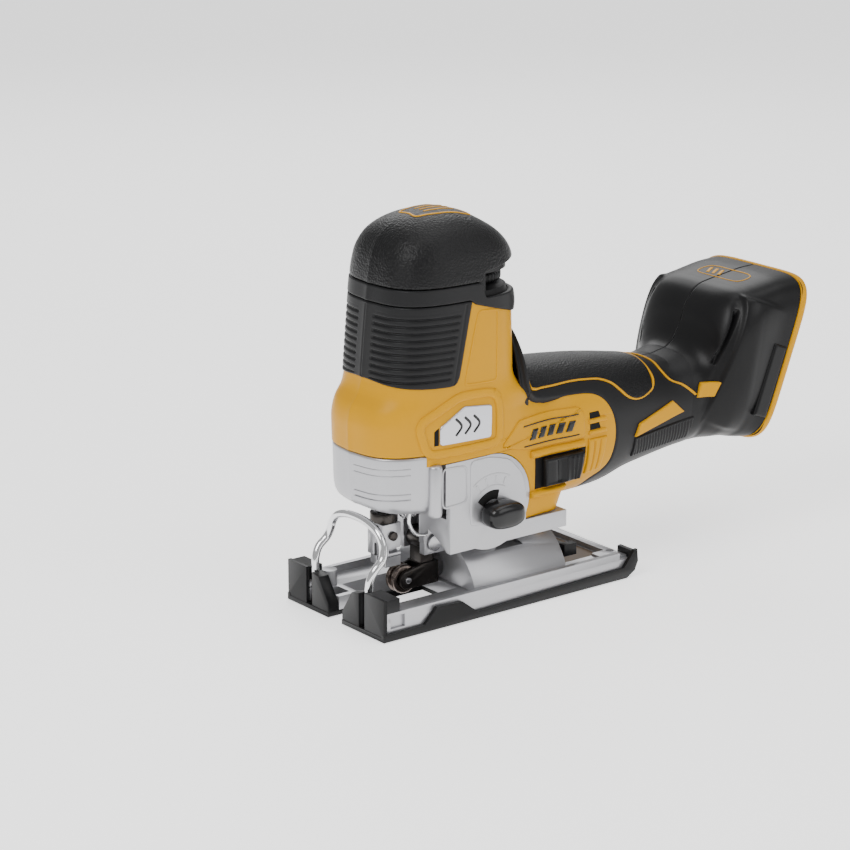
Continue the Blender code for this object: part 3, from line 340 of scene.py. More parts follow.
# ---------------------------------------------------------------- body forms
TOWER_CX = -15.0
TOWER_ROWS = (
    # z, front, rear, half width
    (39.0, -61.6, 26.0, 29.9),
    (81.0, -62.2, 22.0, 30.4),
    (88.0, -62.4, 21.6, 30.5),
    (96.0, -62.2, 21.2, 30.4),
    (102.0, -60.2, 20.9, 30.1),
    (107.0, -56.6, 20.6, 29.8),
    (112.0, -54.9, 20.4, 29.6),
    (120.0, -54.0, 20.2, 29.5),
    (135.0, -52.6, 19.8, 29.3),
    (151.0, -50.9, 19.4, 29.1),
    (158.0, -50.0, 19.2, 29.0))
HANDLE_ROWS = (
    # x, bottom, top, half width
    (17.0, 39.8, 138.0, 29.4),
    (19.4, 39.8, 134.0, 29.4),
    (21.4, 39.8, 127.0, 29.4),
    (22.6, 39.8, 119.0, 29.5),
    (24.4, 39.8, 113.4, 29.6),
    (28.0, 39.8, 109.2, 29.6),
    (33.0, 39.8, 107.9, 29.6),
    (38.0, 39.8, 107.3, 29.5),
    (48.0, 39.9, 106.4, 29.4),
    (60.0, 40.2, 105.3, 29.0),
    (75.0, 41.4, 103.6, 28.3),
    (90.0, 45.4, 101.3, 27.3),
    (105.0, 47.8, 98.6, 26.4),
    (118.0, 49.7, 96.4, 25.9),
    (131.0, 51.2, 98.4, 26.3))
TOWER_POWER, HANDLE_POWER = 3.2, 2.5


def squared(angle, power):
    """A unit squared circle at a polar angle: the ray's length is the power sum of cosine and sine, inverted."""
    c, s = np.cos(angle), np.sin(angle)
    long = (np.abs(c) ** power + np.abs(s) ** power) ** (-1 / power)
    return long * c, long * s


def squared_angle(along_part, power):
    """The polar angle, from 0 to pi, at which the squared circle's first part has this value."""
    f = np.clip(along_part, -1, 1)
    return np.arctan2((1 - np.abs(f) ** power) ** (1 / power), f)


def tower_point(angle, z, grow=0.0):
    """The tower's skin at a plan angle (pi is the front) and height: a squared oval with a soft keel in front."""
    front, rear, half = np.moveaxis(along(TOWER_ROWS, z), -1, 0)
    c, s = squared(angle, TOWER_POWER)
    reach = np.where(c > 0, rear - TOWER_CX, TOWER_CX - front) + grow
    x = TOWER_CX + reach * c
    y = (half + grow) * s
    keel = np.where(c < 0, 0.9 * np.exp(-np.abs(y) / 4.0), 0)
    return np.stack([x - keel, y, z + 0 * x], -1)


def tower_angle(x, z, sign):
    """The plan angle at which the tower's skin on one side reaches x."""
    front, rear, _ = np.moveaxis(along(TOWER_ROWS, z), -1, 0)
    reach = np.where(x > TOWER_CX, rear - TOWER_CX, TOWER_CX - front)
    return squared_angle((x - TOWER_CX) / reach, TOWER_POWER) * sign


def handle_point(x, angle, grow=0.0):
    """The barrel handle's skin: a squared oval section at x, at an angle round it (90 degrees is the top)."""
    bottom, top, half = np.moveaxis(along(HANDLE_ROWS, x), -1, 0)
    middle, high = (bottom + top) / 2, (top - bottom) / 2 + grow
    c, s = squared(angle, HANDLE_POWER)
    y, z = (half + grow) * c, middle + high * s
    return np.stack([x + 0 * y, y, z], -1)


def handle_angle(x, z, sign):
    """The section angle at which the handle's skin on one side reaches height z."""
    bottom, top, _ = np.moveaxis(along(HANDLE_ROWS, x), -1, 0)
    up = np.pi / 2 - squared_angle((z - (bottom + top) / 2) / ((top - bottom) / 2), HANDLE_POWER)
    return up if sign > 0 else np.pi - up


def side_half(x, z):
    """Half width of the housing's side: the tower's in front, easing into the handle's rounded section behind."""
    front, rear, half = np.moveaxis(along(TOWER_ROWS, z), -1, 0)
    f = np.clip((x - TOWER_CX) / (TOWER_CX - front), -1, 0)
    nose = (1 - np.abs(f) ** TOWER_POWER) ** (1 / TOWER_POWER)
    g = np.clip((x - TOWER_CX) / (rear - TOWER_CX), 0, 1)
    tail = (1 - g**TOWER_POWER) ** (1 / TOWER_POWER)
    low = ease((112.0 - z) / 16.0)
    tower = half * nose * (tail + (1 - tail) * low)
    bottom, top, wide = np.moveaxis(along(HANDLE_ROWS, np.maximum(x, 48.0)), -1, 0)
    bottom = bottom - 26.0 * (1 - ease((x - 34.0) / 14.0))
    h = np.clip((z - (bottom + top) / 2) / ((top - bottom) / 2), -1, 1)
    handle = wide * (1 - np.abs(h) ** HANDLE_POWER) ** (1 / HANDLE_POWER)
    share = ease((x - 2.0) / 34.0) * ease((104.0 - z) / 10.0)
    return tower * (1 - share) + handle * share


def side_point(x, z, sign, grow=0.0):
    """A point on the housing's side, raised along the face's own normal."""
    x, z = np.asarray(x, float), np.asarray(z, float)
    y = side_half(x, z)
    dx = (side_half(x + 0.2, z) - side_half(x - 0.2, z)) / 0.4
    dz = (side_half(x, z + 0.2) - side_half(x, z - 0.2)) / 0.4
    long = np.sqrt(1 + dx**2 + dz**2)
    return np.stack([x - grow * dx / long, sign * (y + grow / long), z - grow * dz / long], -1)


# ---------------------------------------------------------------- raised pads, lines and ribs on the skins
def pad_profile(count, length, edge):
    """Places from 0 to 1 that crowd into the rounded edges at both ends, and each one's distance in from its end."""
    lip = edge * (1 - np.cos(np.linspace(0, np.pi / 2, 5)))
    inner = np.linspace(edge, length - edge, count)[1:-1]
    at = np.concatenate([lip, inner, length - lip[::-1]]) / length
    return at, np.minimum(at, 1 - at) * length


def pad(name, place, size, height, material, body, edge, sink, counts, relief=None, replaced=()):
    """A raised patch with rounded edges.

    place(s, t, lift) gives the skin's point, and size is the patch's two lengths in mm. The lift is a quarter circle
    from the rim up to the height, and a last row drops into the skin by the sink. The patch is turned away from the
    centre plane if it lies on a flank, and otherwise away from a point below it.
    """
    s, ds = pad_profile(counts[0], size[0], edge)
    t, dt = pad_profile(counts[1], size[1], edge)
    s, t = np.pad(s, 1, mode="edge"), np.pad(t, 1, mode="edge")
    ds, dt = np.pad(ds, 1, constant_values=-1), np.pad(dt, 1, constant_values=-1)
    distance = np.minimum(ds[:, None], dt[None])
    lift = height * np.sqrt(np.clip(1 - (1 - np.clip(distance / edge, 0, 1)) ** 2, 0, 1))
    lift = np.where(distance < 0, -sink, lift)
    ss, tt = np.meshgrid(s, t, indexing="ij")
    if relief is not None:
        lift = lift + np.where(distance > edge, relief(ss, tt), 0)
    points = place(ss, tt, lift)
    middle = points.reshape(-1, 3).mean(0)
    middle = middle * [1, 0, 1] if abs(middle[1]) > 3 else middle - [0, 0, 30]
    return skin(name, points, middle, material, body, replaced, wall=0.6)


def blended(corners, s, t):
    """The (x, z) places of a patch between four corners, blended from each pair of opposite sides."""
    a, b, c, d = (np.asarray(p, float) for p in corners)
    s, t = s[..., None], t[..., None]
    at = (1 - t) * ((1 - s) * a + s * b) + t * ((1 - s) * d + s * c)
    return at[..., 0], at[..., 1]


def quad_size(corners):
    """The mean length and mean height of a patch between four corners."""
    a, b, c, d = (np.asarray(p, float) for p in corners)
    return ((np.linalg.norm(b - a) + np.linalg.norm(c - d)) / 2,
            (np.linalg.norm(d - a) + np.linalg.norm(c - b)) / 2)


def quad_side(corners, sign):
    """A patch of the housing's side between (x, z) corners: bottom front, bottom rear, top rear, top front."""
    def place(s, t, lift):
        x, z = blended(corners, s, t)
        return side_point(x, z, sign, lift)

    return place, quad_size(corners)


BEAD_SINK = 0.5


def line_on(name, place, path, width, height, material, body, count, closed=False):
    """A flat-topped bead along a path of (a, b) places on a skin: place(a, b, lift) gives the point."""
    line = resample(path, count, closed)
    tangent = (np.roll(line, -1, 0) - np.roll(line, 1, 0)) if closed else np.gradient(line, axis=0)
    tangent /= np.linalg.norm(tangent, axis=1, keepdims=True)
    across = np.stack([-tangent[:, 1], tangent[:, 0]], -1)
    offset = np.array([-0.5, -0.5, -0.42, -0.25, 0, 0.25, 0.42, 0.5, 0.5]) * width
    crown = np.array([0.25, 0.8, 1, 1, 1, 0.8, 0.25]) * height
    lift = np.concatenate([[-BEAD_SINK], crown, [-BEAD_SINK]])
    at = line[:, None] + across[:, None] * offset[None, :, None]
    points = place(at[..., 0], at[..., 1], lift[None] + 0 * at[..., 0])
    n, m = points.shape[:2]
    if closed:
        return piece(name, points.reshape(-1, 3), grid_faces(n, m, True, True), material, body)
    return rings(name, points, material, body)


# ---------------------------------------------------------------- yellow housing
REAR_EDGE = (
    (58, 39.4), (59.5, 44), (62.6, 48.6), (68.6, 52.3), (72.3, 56.5), (74.4, 64), (75, 72.6), (73.2, 81), (69.4, 87.6),
    (64, 91.4), (56, 93.2), (44, 94.0), (33, 94.6), (27, 95.6), (23.4, 98.2), (21.0, 102.4), (19.9, 108), (19.5, 116),
    (19.5, 148))
EDGE_POINTS = 220
CASE_X, CASE_Z, CASE_R = -3.0, 52.0, 23.4


def distance_to(path, x, z):
    """Distance from each (x, z) to a polyline, as the least over its densely sampled points."""
    dense = np.concatenate([np.linspace(a, b, 24) for a, b in zip(path[:-1], path[1:])])
    flat = np.stack([x.ravel(), z.ravel()], -1)
    best = np.full(len(flat), 1e9)
    for part in np.array_split(dense, 12):
        best = np.minimum(best, np.linalg.norm(flat[:, None] - part[None], axis=2).min(1))
    return best.reshape(x.shape)


def inside(path, x, z):
    """True where (x, z) lies inside a closed polygon, by counting the edges that a level ray crosses."""
    count = np.zeros(x.shape, int)
    for (x0, z0), (x1, z1) in zip(path, np.roll(path, -1, 0)):
        spans = (z0 > z) != (z1 > z)
        count += spans & (x < (x1 - x0) * (z - z0) / (z1 - z0 + 1e-12) + x0)
    return count % 2 == 1


rear_edge = resample(REAR_EDGE, EDGE_POINTS)
rear_edge[:, 1] = np.maximum.accumulate(rear_edge[:, 1]) + np.arange(EDGE_POINTS) * 1e-4


def edge_drop(x, z, edge=0.8):
    """Rounds the housing's rear rim: the lift falls along a quarter circle as the rim comes near."""
    d = np.clip(distance_to(rear_edge[::2], x, z) / edge, 0, 1)
    return -edge * (1 - np.sqrt(1 - (1 - d) ** 2))


def housing_rows(low, high, step):
    """Heights at an even step, with every height of the rear edge's points between them."""
    edge_z = rear_edge[:, 1]
    z = np.concatenate([np.arange(low, high, step), edge_z[(edge_z > low) & (edge_z < high)], [high]])
    return np.unique(np.round(z, 3))


def housing_grid(sign):
    """Two sheets of one side: the upper runs from the keel to the rear rim, the lower from the gear case's edge."""
    crowd = 1 - (1 - np.linspace(0, 1, 90)) ** 1.6
    z = housing_rows(81.0, 149.0, 0.9)[:, None]
    rim = np.interp(z, rear_edge[:, 1], rear_edge[:, 0])
    angle = np.pi - (np.pi / 2) * np.linspace(0, 1, 70)[None] ** 1.15
    nose = tower_point(angle * sign + 0 * z, z + 0 * angle)
    x = TOWER_CX + (rim - TOWER_CX) * crowd[None, 1:]
    zz = z + 0 * x
    flank = side_point(x, zz, sign, edge_drop(x, zz))
    under = side_point(x[:, -1:], zz[:, -1:], sign, -2.0)
    upper = np.concatenate([nose, flank, under], 1)

    z = housing_rows(39.4, 81.0, 0.8)[:, None]
    z = np.sort(np.concatenate([z, [[75.2], [75.4], [45.9], [46.1]]]), 0)
    rim = np.interp(z, rear_edge[:, 1], rear_edge[:, 0])
    arc = CASE_X + np.sqrt(np.clip(CASE_R**2 - (z - CASE_Z) ** 2, 0, None))
    start = np.where(z > 75.3, -40.0, np.where(z < 46, 18.4, arc))
    x = start + (rim - start) * crowd[None]
    zz = z + 0 * x
    flank = side_point(x, zz, sign, edge_drop(x, zz))
    front = side_point(x[:, :1], zz[:, :1], sign, -2.0)
    under = side_point(x[:, -1:], zz[:, -1:], sign, -2.0)
    return upper, np.concatenate([front, flank, under], 1)


def two_sheets(name, first, second, centre, material, body, replaced, wall):
    """Two sheets as one object, each turned away from the centre."""
    a, a_faces = sheet_of(first, not facing(first, centre))
    b, b_faces = sheet_of(second, not facing(second, centre))
    faces = np.concatenate([a_faces, b_faces + len(a)])
    return piece(name, np.concatenate([a, b]), faces, material, body, replaced, wall, outward=False)


for side, sign in BOTH:
    upper, lower = housing_grid(sign)
    two_sheets(f"housing_shell_{side}", upper, lower, np.array([0.0, 0, 80]), yellow_plastic, "tool",
               (f"housing_{side}",), SHELL_WALL)

# ---------------------------------------------------------------- ribbed front grip, band and dome
GRIP_LOW, GRIP_HIGH = 110.8, 149.6
RIB_PITCH = 3.2


def grip_rear_x(z):
    """The front grip's slanted rear edge, rounded at its lower corner."""
    return np.interp(z, [GRIP_LOW, 111.3, 112.5, 115, GRIP_HIGH], [-28, -24.6, -22.9, -21.6, -14.2])


def front_grip_angle(s, z):
    """The plan angle at s, which runs from the far side's rear edge round the keel to the near side's."""
    edge = tower_angle(grip_rear_x(z), z, 1)
    return edge + s * (2 * np.pi - 2 * edge)


def front_rise(angle, t):
    """How far the grip's lower edge is lifted at the front: a bell round the keel that fades up the grip."""
    return 3.6 * np.exp(-((angle - np.pi) / 0.85) ** 2) * (1 - t)


def front_grip_place(s, t, lift):
    """The grip's patch: t runs up the tower, and s round it."""
    z = GRIP_LOW + t * (GRIP_HIGH - GRIP_LOW)
    angle = front_grip_angle(s, z)
    return tower_point(angle, z + front_rise(angle, t), lift)


def front_ribs(s, t):
    """Level grooves at an even pitch, in a panel each side of the smooth keel strip, and a line at its rear."""
    z = GRIP_LOW + t * (GRIP_HIGH - GRIP_LOW)
    angle = front_grip_angle(s, z)
    point = tower_point(angle, z)
    x, y = point[..., 0], np.abs(point[..., 1])
    z = z + front_rise(angle, t)
    lean = 0.2 * (z - 111)
    panel = ease((y - 5.0) / 0.8) * ease((-27.5 + lean - x) / 0.8)
    panel = panel * ease((z - 114.0) / 0.8) * ease((146.5 - z) / 0.8)
    groove = (0.5 + 0.5 * np.cos(2 * np.pi * (z - 115.0) / RIB_PITCH)) ** 3
    keel = 0.35 * np.exp(-(y / 0.35) ** 2)
    frame_line = np.exp(-((x + 25.2 - lean) / 0.4) ** 2) * 0.3
    return -0.75 * panel * groove - keel - frame_line


pad("front_grip_ribbed", front_grip_place, (112, 38.8), 0.75, smooth_rubber, "tool", 0.9, 1.6,
    (230, 170), front_ribs, ("front_grip",))


def band_place(s, t, lift):
    """The band round the tower's top: its lower edge follows the housing's slope, its top dips under the dial."""
    angle = s * 2 * np.pi
    x = tower_point(angle, 150.0 + 0 * angle)[..., 0]
    low = 149.9 - 2.2 * ease((x + 16) / 4) - 0.30 * np.maximum(x + 13, 0)
    high = 157.4 - 7.4 * ease((x + 9.5) / 3.0)
    z = low + t * (high - low)
    lip = 0.5 * ease((x - 4) / 12) * np.sin(np.pi * np.clip(t, 0, 1))
    return tower_point(angle, z, lift + lip)


pad("head_band_ring", band_place, (160, 8.0), 0.9, smooth_rubber, "tool", 0.7, 1.6, (260, 30),
    replaced=("head_band",))

DOME_ROWS = (
    # root of depth below the top, front reach, rear reach, half width
    (0.0, 0.0, 0.0, 0.0),
    (0.63, 8.0, 5.6, 6.4),
    (1.18, 14.6, 10.4, 11.6),
    (1.73, 19.6, 14.6, 16.2),
    (2.24, 23.6, 18.6, 19.8),
    (2.68, 26.6, 22.2, 22.6),
    (3.07, 29.0, 25.6, 24.6),
    (3.65, 31.6, 30.0, 26.8),
    (4.12, 33.3, 32.8, 28.2),
    (4.69, 34.7, 35.0, 29.1),
    (5.00, 35.3, 35.4, 29.5),
    (5.55, 36.0, 35.2, 30.0))


def dome_point(angle, depth, grow=0.0):
    """The domed cap at a plan angle; depth is the square root of the drop below its top."""
    front, rear, half = np.moveaxis(along(DOME_ROWS, depth), -1, 0)
    power = 2.2 + 0.9 * ease(depth / 4.5)
    c, s = squared(angle, power)
    x = TOWER_CX + (np.where(c > 0, rear, front) + grow) * c
    y = (half + grow) * s
    keel = np.where(c < 0, 0.8 * np.exp(-np.abs(y) / 4.0) * ease(depth / 3), 0)
    return np.stack([x - keel, y, HEAD_TOP - depth**2], -1)


def dome_sheet():
    """The dome from its top down to its rim, then inward under the overhang above the dial."""
    angle = np.linspace(0, 2 * np.pi, 241)[None]
    x = tower_point(angle, 155.0 + 0 * angle)[..., 0]
    over_dial = (3.4 + 0.16 * np.maximum(x + 9.5, 0)) * ease((x + 9.5) / 2.5)
    rim = np.sqrt(HEAD_TOP - (157.7 + over_dial))
    t = np.concatenate([np.linspace(0, 0.97, 90), [0.98, 0.99, 0.996, 1.0, 1.0, 1.0]])[:, None]
    lift = np.concatenate([np.full(90, 0.0), [-0.02, -0.1, -0.3, -0.7, -2.0, -13.5]])[:, None]
    lift = np.where(t * rim < 0.3, 0, lift) * ease(t * 6)
    return dome_point(angle + 0 * t, t * rim, lift + 0 * angle)


skin("head_dome", dome_sheet(), (TOWER_CX, 0, 150), leather_rubber, "tool", ("head_cap",), SHELL_WALL)


def label_place(a, b, lift):
    """A place on the dome's top: a is along x and b along y from the label's middle, in mm."""
    x, y = np.asarray(a, float) + 1.0, np.asarray(b, float)
    angle = np.arctan2(y, x)
    depth = np.zeros_like(x)
    for size in (2.0, 1.0, 0.5, 0.25, 0.12, 0.06, 0.03, 0.015, 0.008, 0.004):
        reach = np.linalg.norm(dome_point(angle, depth + size)[..., :2] - np.array([TOWER_CX, 0]), axis=-1)
        depth = np.where(reach < np.hypot(x, y), depth + size, depth)
    point = dome_point(angle, depth)
    point[..., 2] += 0.05 + lift
    return point


LABEL_FRAME = (
    (-13, -8), (0, -9.5), (12, -10.5), (13.6, -9.5), (13.6, 0), (13.6, 9.5), (12, 10.5), (0, 9.5), (-13, 8), (-14.4, 6.8),
    (-14.4, 0), (-14.4, -6.8))
line_on("dome_label_frame", label_place, LABEL_FRAME, 1.1, 0.25, yellow_gloss, "tool", 160, True)
for k, y in enumerate((-4.0, 0.0, 4.0)):
    line_on(f"dome_label_bar_{k + 1}", label_place, [(-8, y), (0, y), (8, y)], 1.0, 0.2, yellow_gloss, "tool",
            30)

# Dial recess wall and the knurled speed dial
RECESS_ROWS = np.array((
    # height, how far in from the tower's skin
    (149.6, -0.4), (149.6, -1.0), (149.8, -1.9), (150.2, -2.2), (152.2, -2.2), (152.3, -2.3), (152.3, -12.3),
    (152.4, -12.4), (156.0, -12.4), (160.2, -12.4), (160.3, -12.3), (160.3, -2.3), (160.4, -2.2), (163.0, -2.2),
    (167.0, -2.2)))


def dial_recess():
    """The wall behind the dial: the tower's skin drawn in, and further in over the dial window's heights."""
    z, draw = RECESS_ROWS[:, :1], RECESS_ROWS[:, 1:]
    angle = np.linspace(-1.9, 1.9, 240)[None]
    x = tower_point(angle + 0 * z, 155.0 + 0 * z + 0 * angle)[..., 0]
    draw = np.where(draw < -2.25, -2.3 + (draw + 2.3) * ease((x + 3.5) / 0.8), draw + 0 * x)
    return tower_point(angle + 0 * z, z + 0 * angle, draw)


skin("dial_recess_wall", dial_recess(), (TOWER_CX, 0, 120), smooth_rubber, "tool", ("dial_pot",), 1.0)


DIAL_X, KNURLS = 1.5, 48


def dial_rings():
    """A thumbwheel: a turned profile whose rim carries fine rounded knurls."""
    profile = np.array([(4.2, 152.6), (10, 152.6), (17.6, 152.6), (18.4, 152.9), (18.7, 153.6), (18.7, 156.2),
                        (18.4, 156.9), (17.6, 157.2), (10, 157.2), (4.2, 157.2)])
    angle = np.linspace(0, 2 * np.pi, 480, endpoint=False)
    knurl = 0.28 * np.cos(KNURLS * angle)[None] * (profile[:, :1] > 18.5)
    radius = profile[:, :1] + knurl
    return np.stack([DIAL_X + radius * np.cos(angle), radius * np.sin(angle), profile[:, 1:] + 0 * radius], -1)


rings("speed_dial_knurled", dial_rings(), black_plastic, "dial", ("speed_dial",))

# ---------------------------------------------------------------- barrel grip
BARREL_MIDDLE = (60, 0, 74)
yellow_region = np.concatenate([rear_edge, [(-60, 148), (-60, 39)]])


def seam_line(points, centre):
    """Draws a half shell's rim in beside the centre plane, so that the two halves meet in a fine groove."""
    depth = 0.35 * np.exp(-(points[..., 1:2] / 0.3) ** 2)
    away = points - np.asarray(centre, float)
    away[..., 1] = 0
    away[..., 0] *= 0.3
    return points - depth * away / np.maximum(np.linalg.norm(away, axis=-1, keepdims=True), 1e-6)


def grip_half(sign):
    """One side's rubber skin from the seam under the handle round to the one on top, let in where the housing is."""
    x = np.concatenate([np.linspace(17.0, 30.0, 34)[:-1], np.linspace(30.0, 137.0, 150)])[:, None]
    turn = np.linspace(-np.pi / 2, np.pi / 2, 150)[None]
    angle = turn if sign > 0 else np.pi - turn
    base = handle_point(x + 0 * angle, angle + 0 * x)
    xx, zz = base[..., 0], base[..., 2]
    shut = inside(yellow_region, xx, zz)
    far = distance_to(rear_edge[::2], xx, zz)
    lift = np.where(shut, -2.6 * ease(far / 1.4) - 0.3, 0.35 * ease(far / 1.2) - 0.3)
    return seam_line(handle_point(x + 0 * angle, angle + 0 * x, lift), BARREL_MIDDLE)


for side, sign in BOTH:
    skin(f"barrel_skin_{side}", grip_half(sign), BARREL_MIDDLE, smooth_rubber, "tool", (f"grip_{side}",),
         1.2)

PAD_FRONT = 22.9
PAD_LOW = np.array((
    (22.8, 107.0), (23.6, 102.6), (26.0, 100.0), (30.0, 99.2), (40, 99.0), (52, 98.9), (61.5, 98.1), (69.0, 97.0),
    (75.6, 94.3), (79.4, 91.0), (83.4, 87.2), (87.0, 85.3), (89.8, 84.7), (93.4, 84.8), (97.0, 85.8), (100.4, 87.2),
    (102.0, 88.6)))


def leather_place(s, t, lift):
    """The grained pad over the handle's top: t runs from one lower edge over the top to the other, s rearward."""
    q = 2 * t - 1
    end = 107.2 - 5.8 * np.abs(q) ** 1.6
    x = PAD_FRONT + s * (end - PAD_FRONT)
    low = np.interp(x, PAD_LOW[:, 0], PAD_LOW[:, 1])
    near = handle_angle(x, low, -1)
    angle = np.pi / 2 + (near - np.pi / 2) * -q
    return handle_point(x, angle, lift + 0.05)


pad("barrel_pad", leather_place, (72, 62), 0.7, leather_rubber, "tool", 0.8, 1.2, (140, 110))


def round_handle(sign):
    """Places on one side of the handle given by x and the angle down from the top, in degrees."""
    def place(a, b, lift):
        angle = np.pi / 2 + np.radians(b) * -sign
        return handle_point(a, angle, lift)
    return place


def down_angle(x, z):
    """Degrees from the handle's top down to a height on its side."""
    return np.degrees(np.pi / 2 - handle_angle(np.asarray(x, float), np.asarray(z, float), 1))


def flank_patch(corners, sign):
    """A patch of the handle's side between four (x, z) corners, as quad_side takes them."""
    def place(s, t, lift):
        x, z = blended(corners, s, t)
        return handle_point(x, handle_angle(x, z, sign), lift)

    return place, quad_size(corners)


def root_patch(sign):
    """A patch across the handle's end and the foot's root, at the foot's own half width there."""
    def place(s, t, lift):
        x, z = blended(ROOT_ACCENT, s, t)
        half = np.interp(x, ROOT_X, ROOT_HALF)
        return np.stack([x, sign * (half + lift), z], -1)

    return place


def grip_rib_relief(s, t):
    """Slanted grooves that fade out towards the patch's four edges."""
    groove = (0.5 + 0.5 * np.cos(2 * np.pi * (s * 38 + t * 2.2) / 1.9)) ** 2
    return -0.5 * groove * ease((0.5 - np.abs(s - 0.5)) * 16) * ease((0.5 - np.abs(t - 0.5)) * 8)


GRIP_ACCENT = ((87.6, 66.4), (120.6, 73.2), (113.0, 79.6), (90.4, 72.6))
GRIP_RIBS = ((88.0, 56.0), (126.0, 58.4), (127.0, 69.6), (88.0, 65.8))
ROOT_ACCENT = ((128.6, 78.6), (145.2, 77.9), (147.6, 85.6), (130.8, 86.0))
ROOT_X = (124.0, 130.5, 134.8, 137.8, 140.6, 144.0, 148.0)
ROOT_HALF = (25.6, 26.6, 27.7, 29.5, 31.5, 33.6, 35.4)
# Lines over the handle, as x and degrees down from the top
TOP_LINE = ((107.6, 0.0), (107.0, 10.0), (105.4, 22.0), (104.3, 37.5), (103.4, 50.5))
REAR_LINE = ((114.2, 0.0), (113.9, 11.0), (113.6, 22.0), (112.6, 38.5), (114.8, 50.5), (120.5, 58.0), (124.9, 67.5),
             (128.2, 76.0))
COLLAR_LINE = ((21.6, 37.0), (22.2, 38.0), (23.0, 40.0), (24.0, 44.0))
low = PAD_LOW[:-1]
pad_line = np.concatenate([np.column_stack([low[:, 0], down_angle(low[:, 0], low[:, 1])]), TOP_LINE[::-1]])
for side, sign in BOTH:
    line_on(f"pad_line_{side}", round_handle(sign), pad_line, 1.5, 0.75, yellow_gloss, "tool", 260)
    line_on(f"rear_line_{side}", round_handle(sign), REAR_LINE, 1.4, 0.6, yellow_gloss, "tool", 160)
    line_on(f"collar_accent_{side}", round_handle(sign), COLLAR_LINE, 2.4, 0.5, yellow_gloss, "tool", 60)
    place, size = flank_patch(GRIP_ACCENT, sign)
    pad(f"accent_{side}", place, size, 1.3, yellow_plastic, "tool", 0.6, 1.0, (40, 16))
    place, size = flank_patch(GRIP_RIBS, sign)
    pad(f"grip_ribs_{side}", place, size, 0.9, smooth_rubber, "tool", 0.7, 1.0, (150, 24), grip_rib_relief)
    pad(f"small_accent_{side}", root_patch(sign), (18.0, 7.6), 1.0, yellow_plastic, "tool", 0.6, 1.0,
        (16, 12))

# ---------------------------------------------------------------- battery foot
TILT = np.radians(21.0)


def foot_to_world(n, u):
    """x and z of the foot's own rearward and upward distances."""
    return n * np.cos(TILT) + u * np.sin(TILT), -n * np.sin(TILT) + u * np.cos(TILT)


FOOT_ROWS = (
    # key, top x, top z, bottom x, bottom z, half width, power above, power below
    (0, 112.0, 96.6, 116.0, 50.6, 24.0, 2.5, 2.5),
    (1, 124.0, 96.6, 124.0, 50.6, 25.6, 2.5, 2.5),
    (2, 131.5, 98.4, 129.5, 51.2, 26.6, 2.5, 2.5),
    (3, 136.6, 102.6, 133.0, 51.8, 27.6, 2.6, 2.5),
    (4, 140.2, 109.2, 135.5, 52.0, 29.4, 2.8, 2.6),
    (5, 143.2, 117.0, 138.0, 52.2, 31.4, 3.2, 2.7),
    (6, 147.6, 123.4, 140.5, 52.4, 33.6, 3.8, 2.8),
    (7, 152.8, 127.0, 143.5, 52.6, 35.4, 4.6, 3.0),
    (8, 159.0, 128.4, 148.0, 52.8, 36.9, 5.4, 3.2),
    (9, 165.0, 129.2, 151.5, 52.8, 37.1, 5.6, 3.6),
    (10, 172.0, 130.2, 154.0, 52.6, 37.2, 5.8, 4.2),
    (11, 180.0, 131.2, 157.0, 52.4, 37.4, 6.0, 4.8),
    (12, 190.0, 131.6, 160.6, 52.6, 38.0, 6.0, 5.6))


def foot_point(key, angle, lift=0.0):
    """The foot's skin: a section that leans and grows from the handle's oval into the dock's rounded box."""
    tx, tz, bx, bz, half, above, below = np.moveaxis(along(FOOT_ROWS, key), -1, 0)
    c, v = squared(angle, np.where(np.sin(angle) > 0, above, below))
    y = (half + lift) * c
    high = np.hypot(tx - bx, tz - bz) / 2
    v = v * (high + lift) / high
    return np.stack([(tx + bx) / 2 + v * (tx - bx) / 2, y, (tz + bz) / 2 + v * (tz - bz) / 2], -1)


def foot_half_sheet(sign):
    """One half of the foot with the box's front ridge standing proud and the cooling slot sunk beside it."""
    key = np.concatenate([np.linspace(0, 5, 60)[:-1], np.linspace(5, 12, 170)])[:, None]
    turn = np.linspace(-np.pi / 2, np.pi / 2, 240)[None]
    angle = turn if sign > 0 else np.pi - turn
    base = foot_point(key + 0 * angle, angle + 0 * key)
    x, y, z = base[..., 0], np.abs(base[..., 1]), base[..., 2]
    n, u = x * np.cos(TILT) - z * np.sin(TILT), x * np.sin(TILT) + z * np.cos(TILT)
    side = ease((y - 24) / 6)
    ridge = 1.5 * ease((n - 98.8) / 1.6) * side * ease((175 - u) / 4) * ease((u - 107) / 4)
    ridge = ridge * (1 - ease((n - 108) / 18))
    valley = -0.9 * np.exp(-((n - 97.0) / 1.9) ** 2) * side * ease((u - 112) / 6) * ease((174 - u) / 5)
    across = n - 97.4 + (167 - u) * 0.07
    slot = -3.0 * ease((0.95 - np.abs(across)) / 0.45) * ease((u - 137) / 1.5) * ease((167 - u) / 1.5) * side
    teeth = 1.4 * ease(-across / 0.4) * (slot < -2) * (np.cos(2 * np.pi * u / 4.2) > 0.2)
    lift = 0.25 + ridge + valley + slot + teeth
    return seam_line(foot_point(key + 0 * angle, angle + 0 * key, lift), (165, 0, 92))


for side, sign in BOTH:
    skin(f"foot_shell_{side}", foot_half_sheet(sign), (160, 0, 90), black_plastic, "tool", (f"foot_{side}",),
         SHELL_WALL)


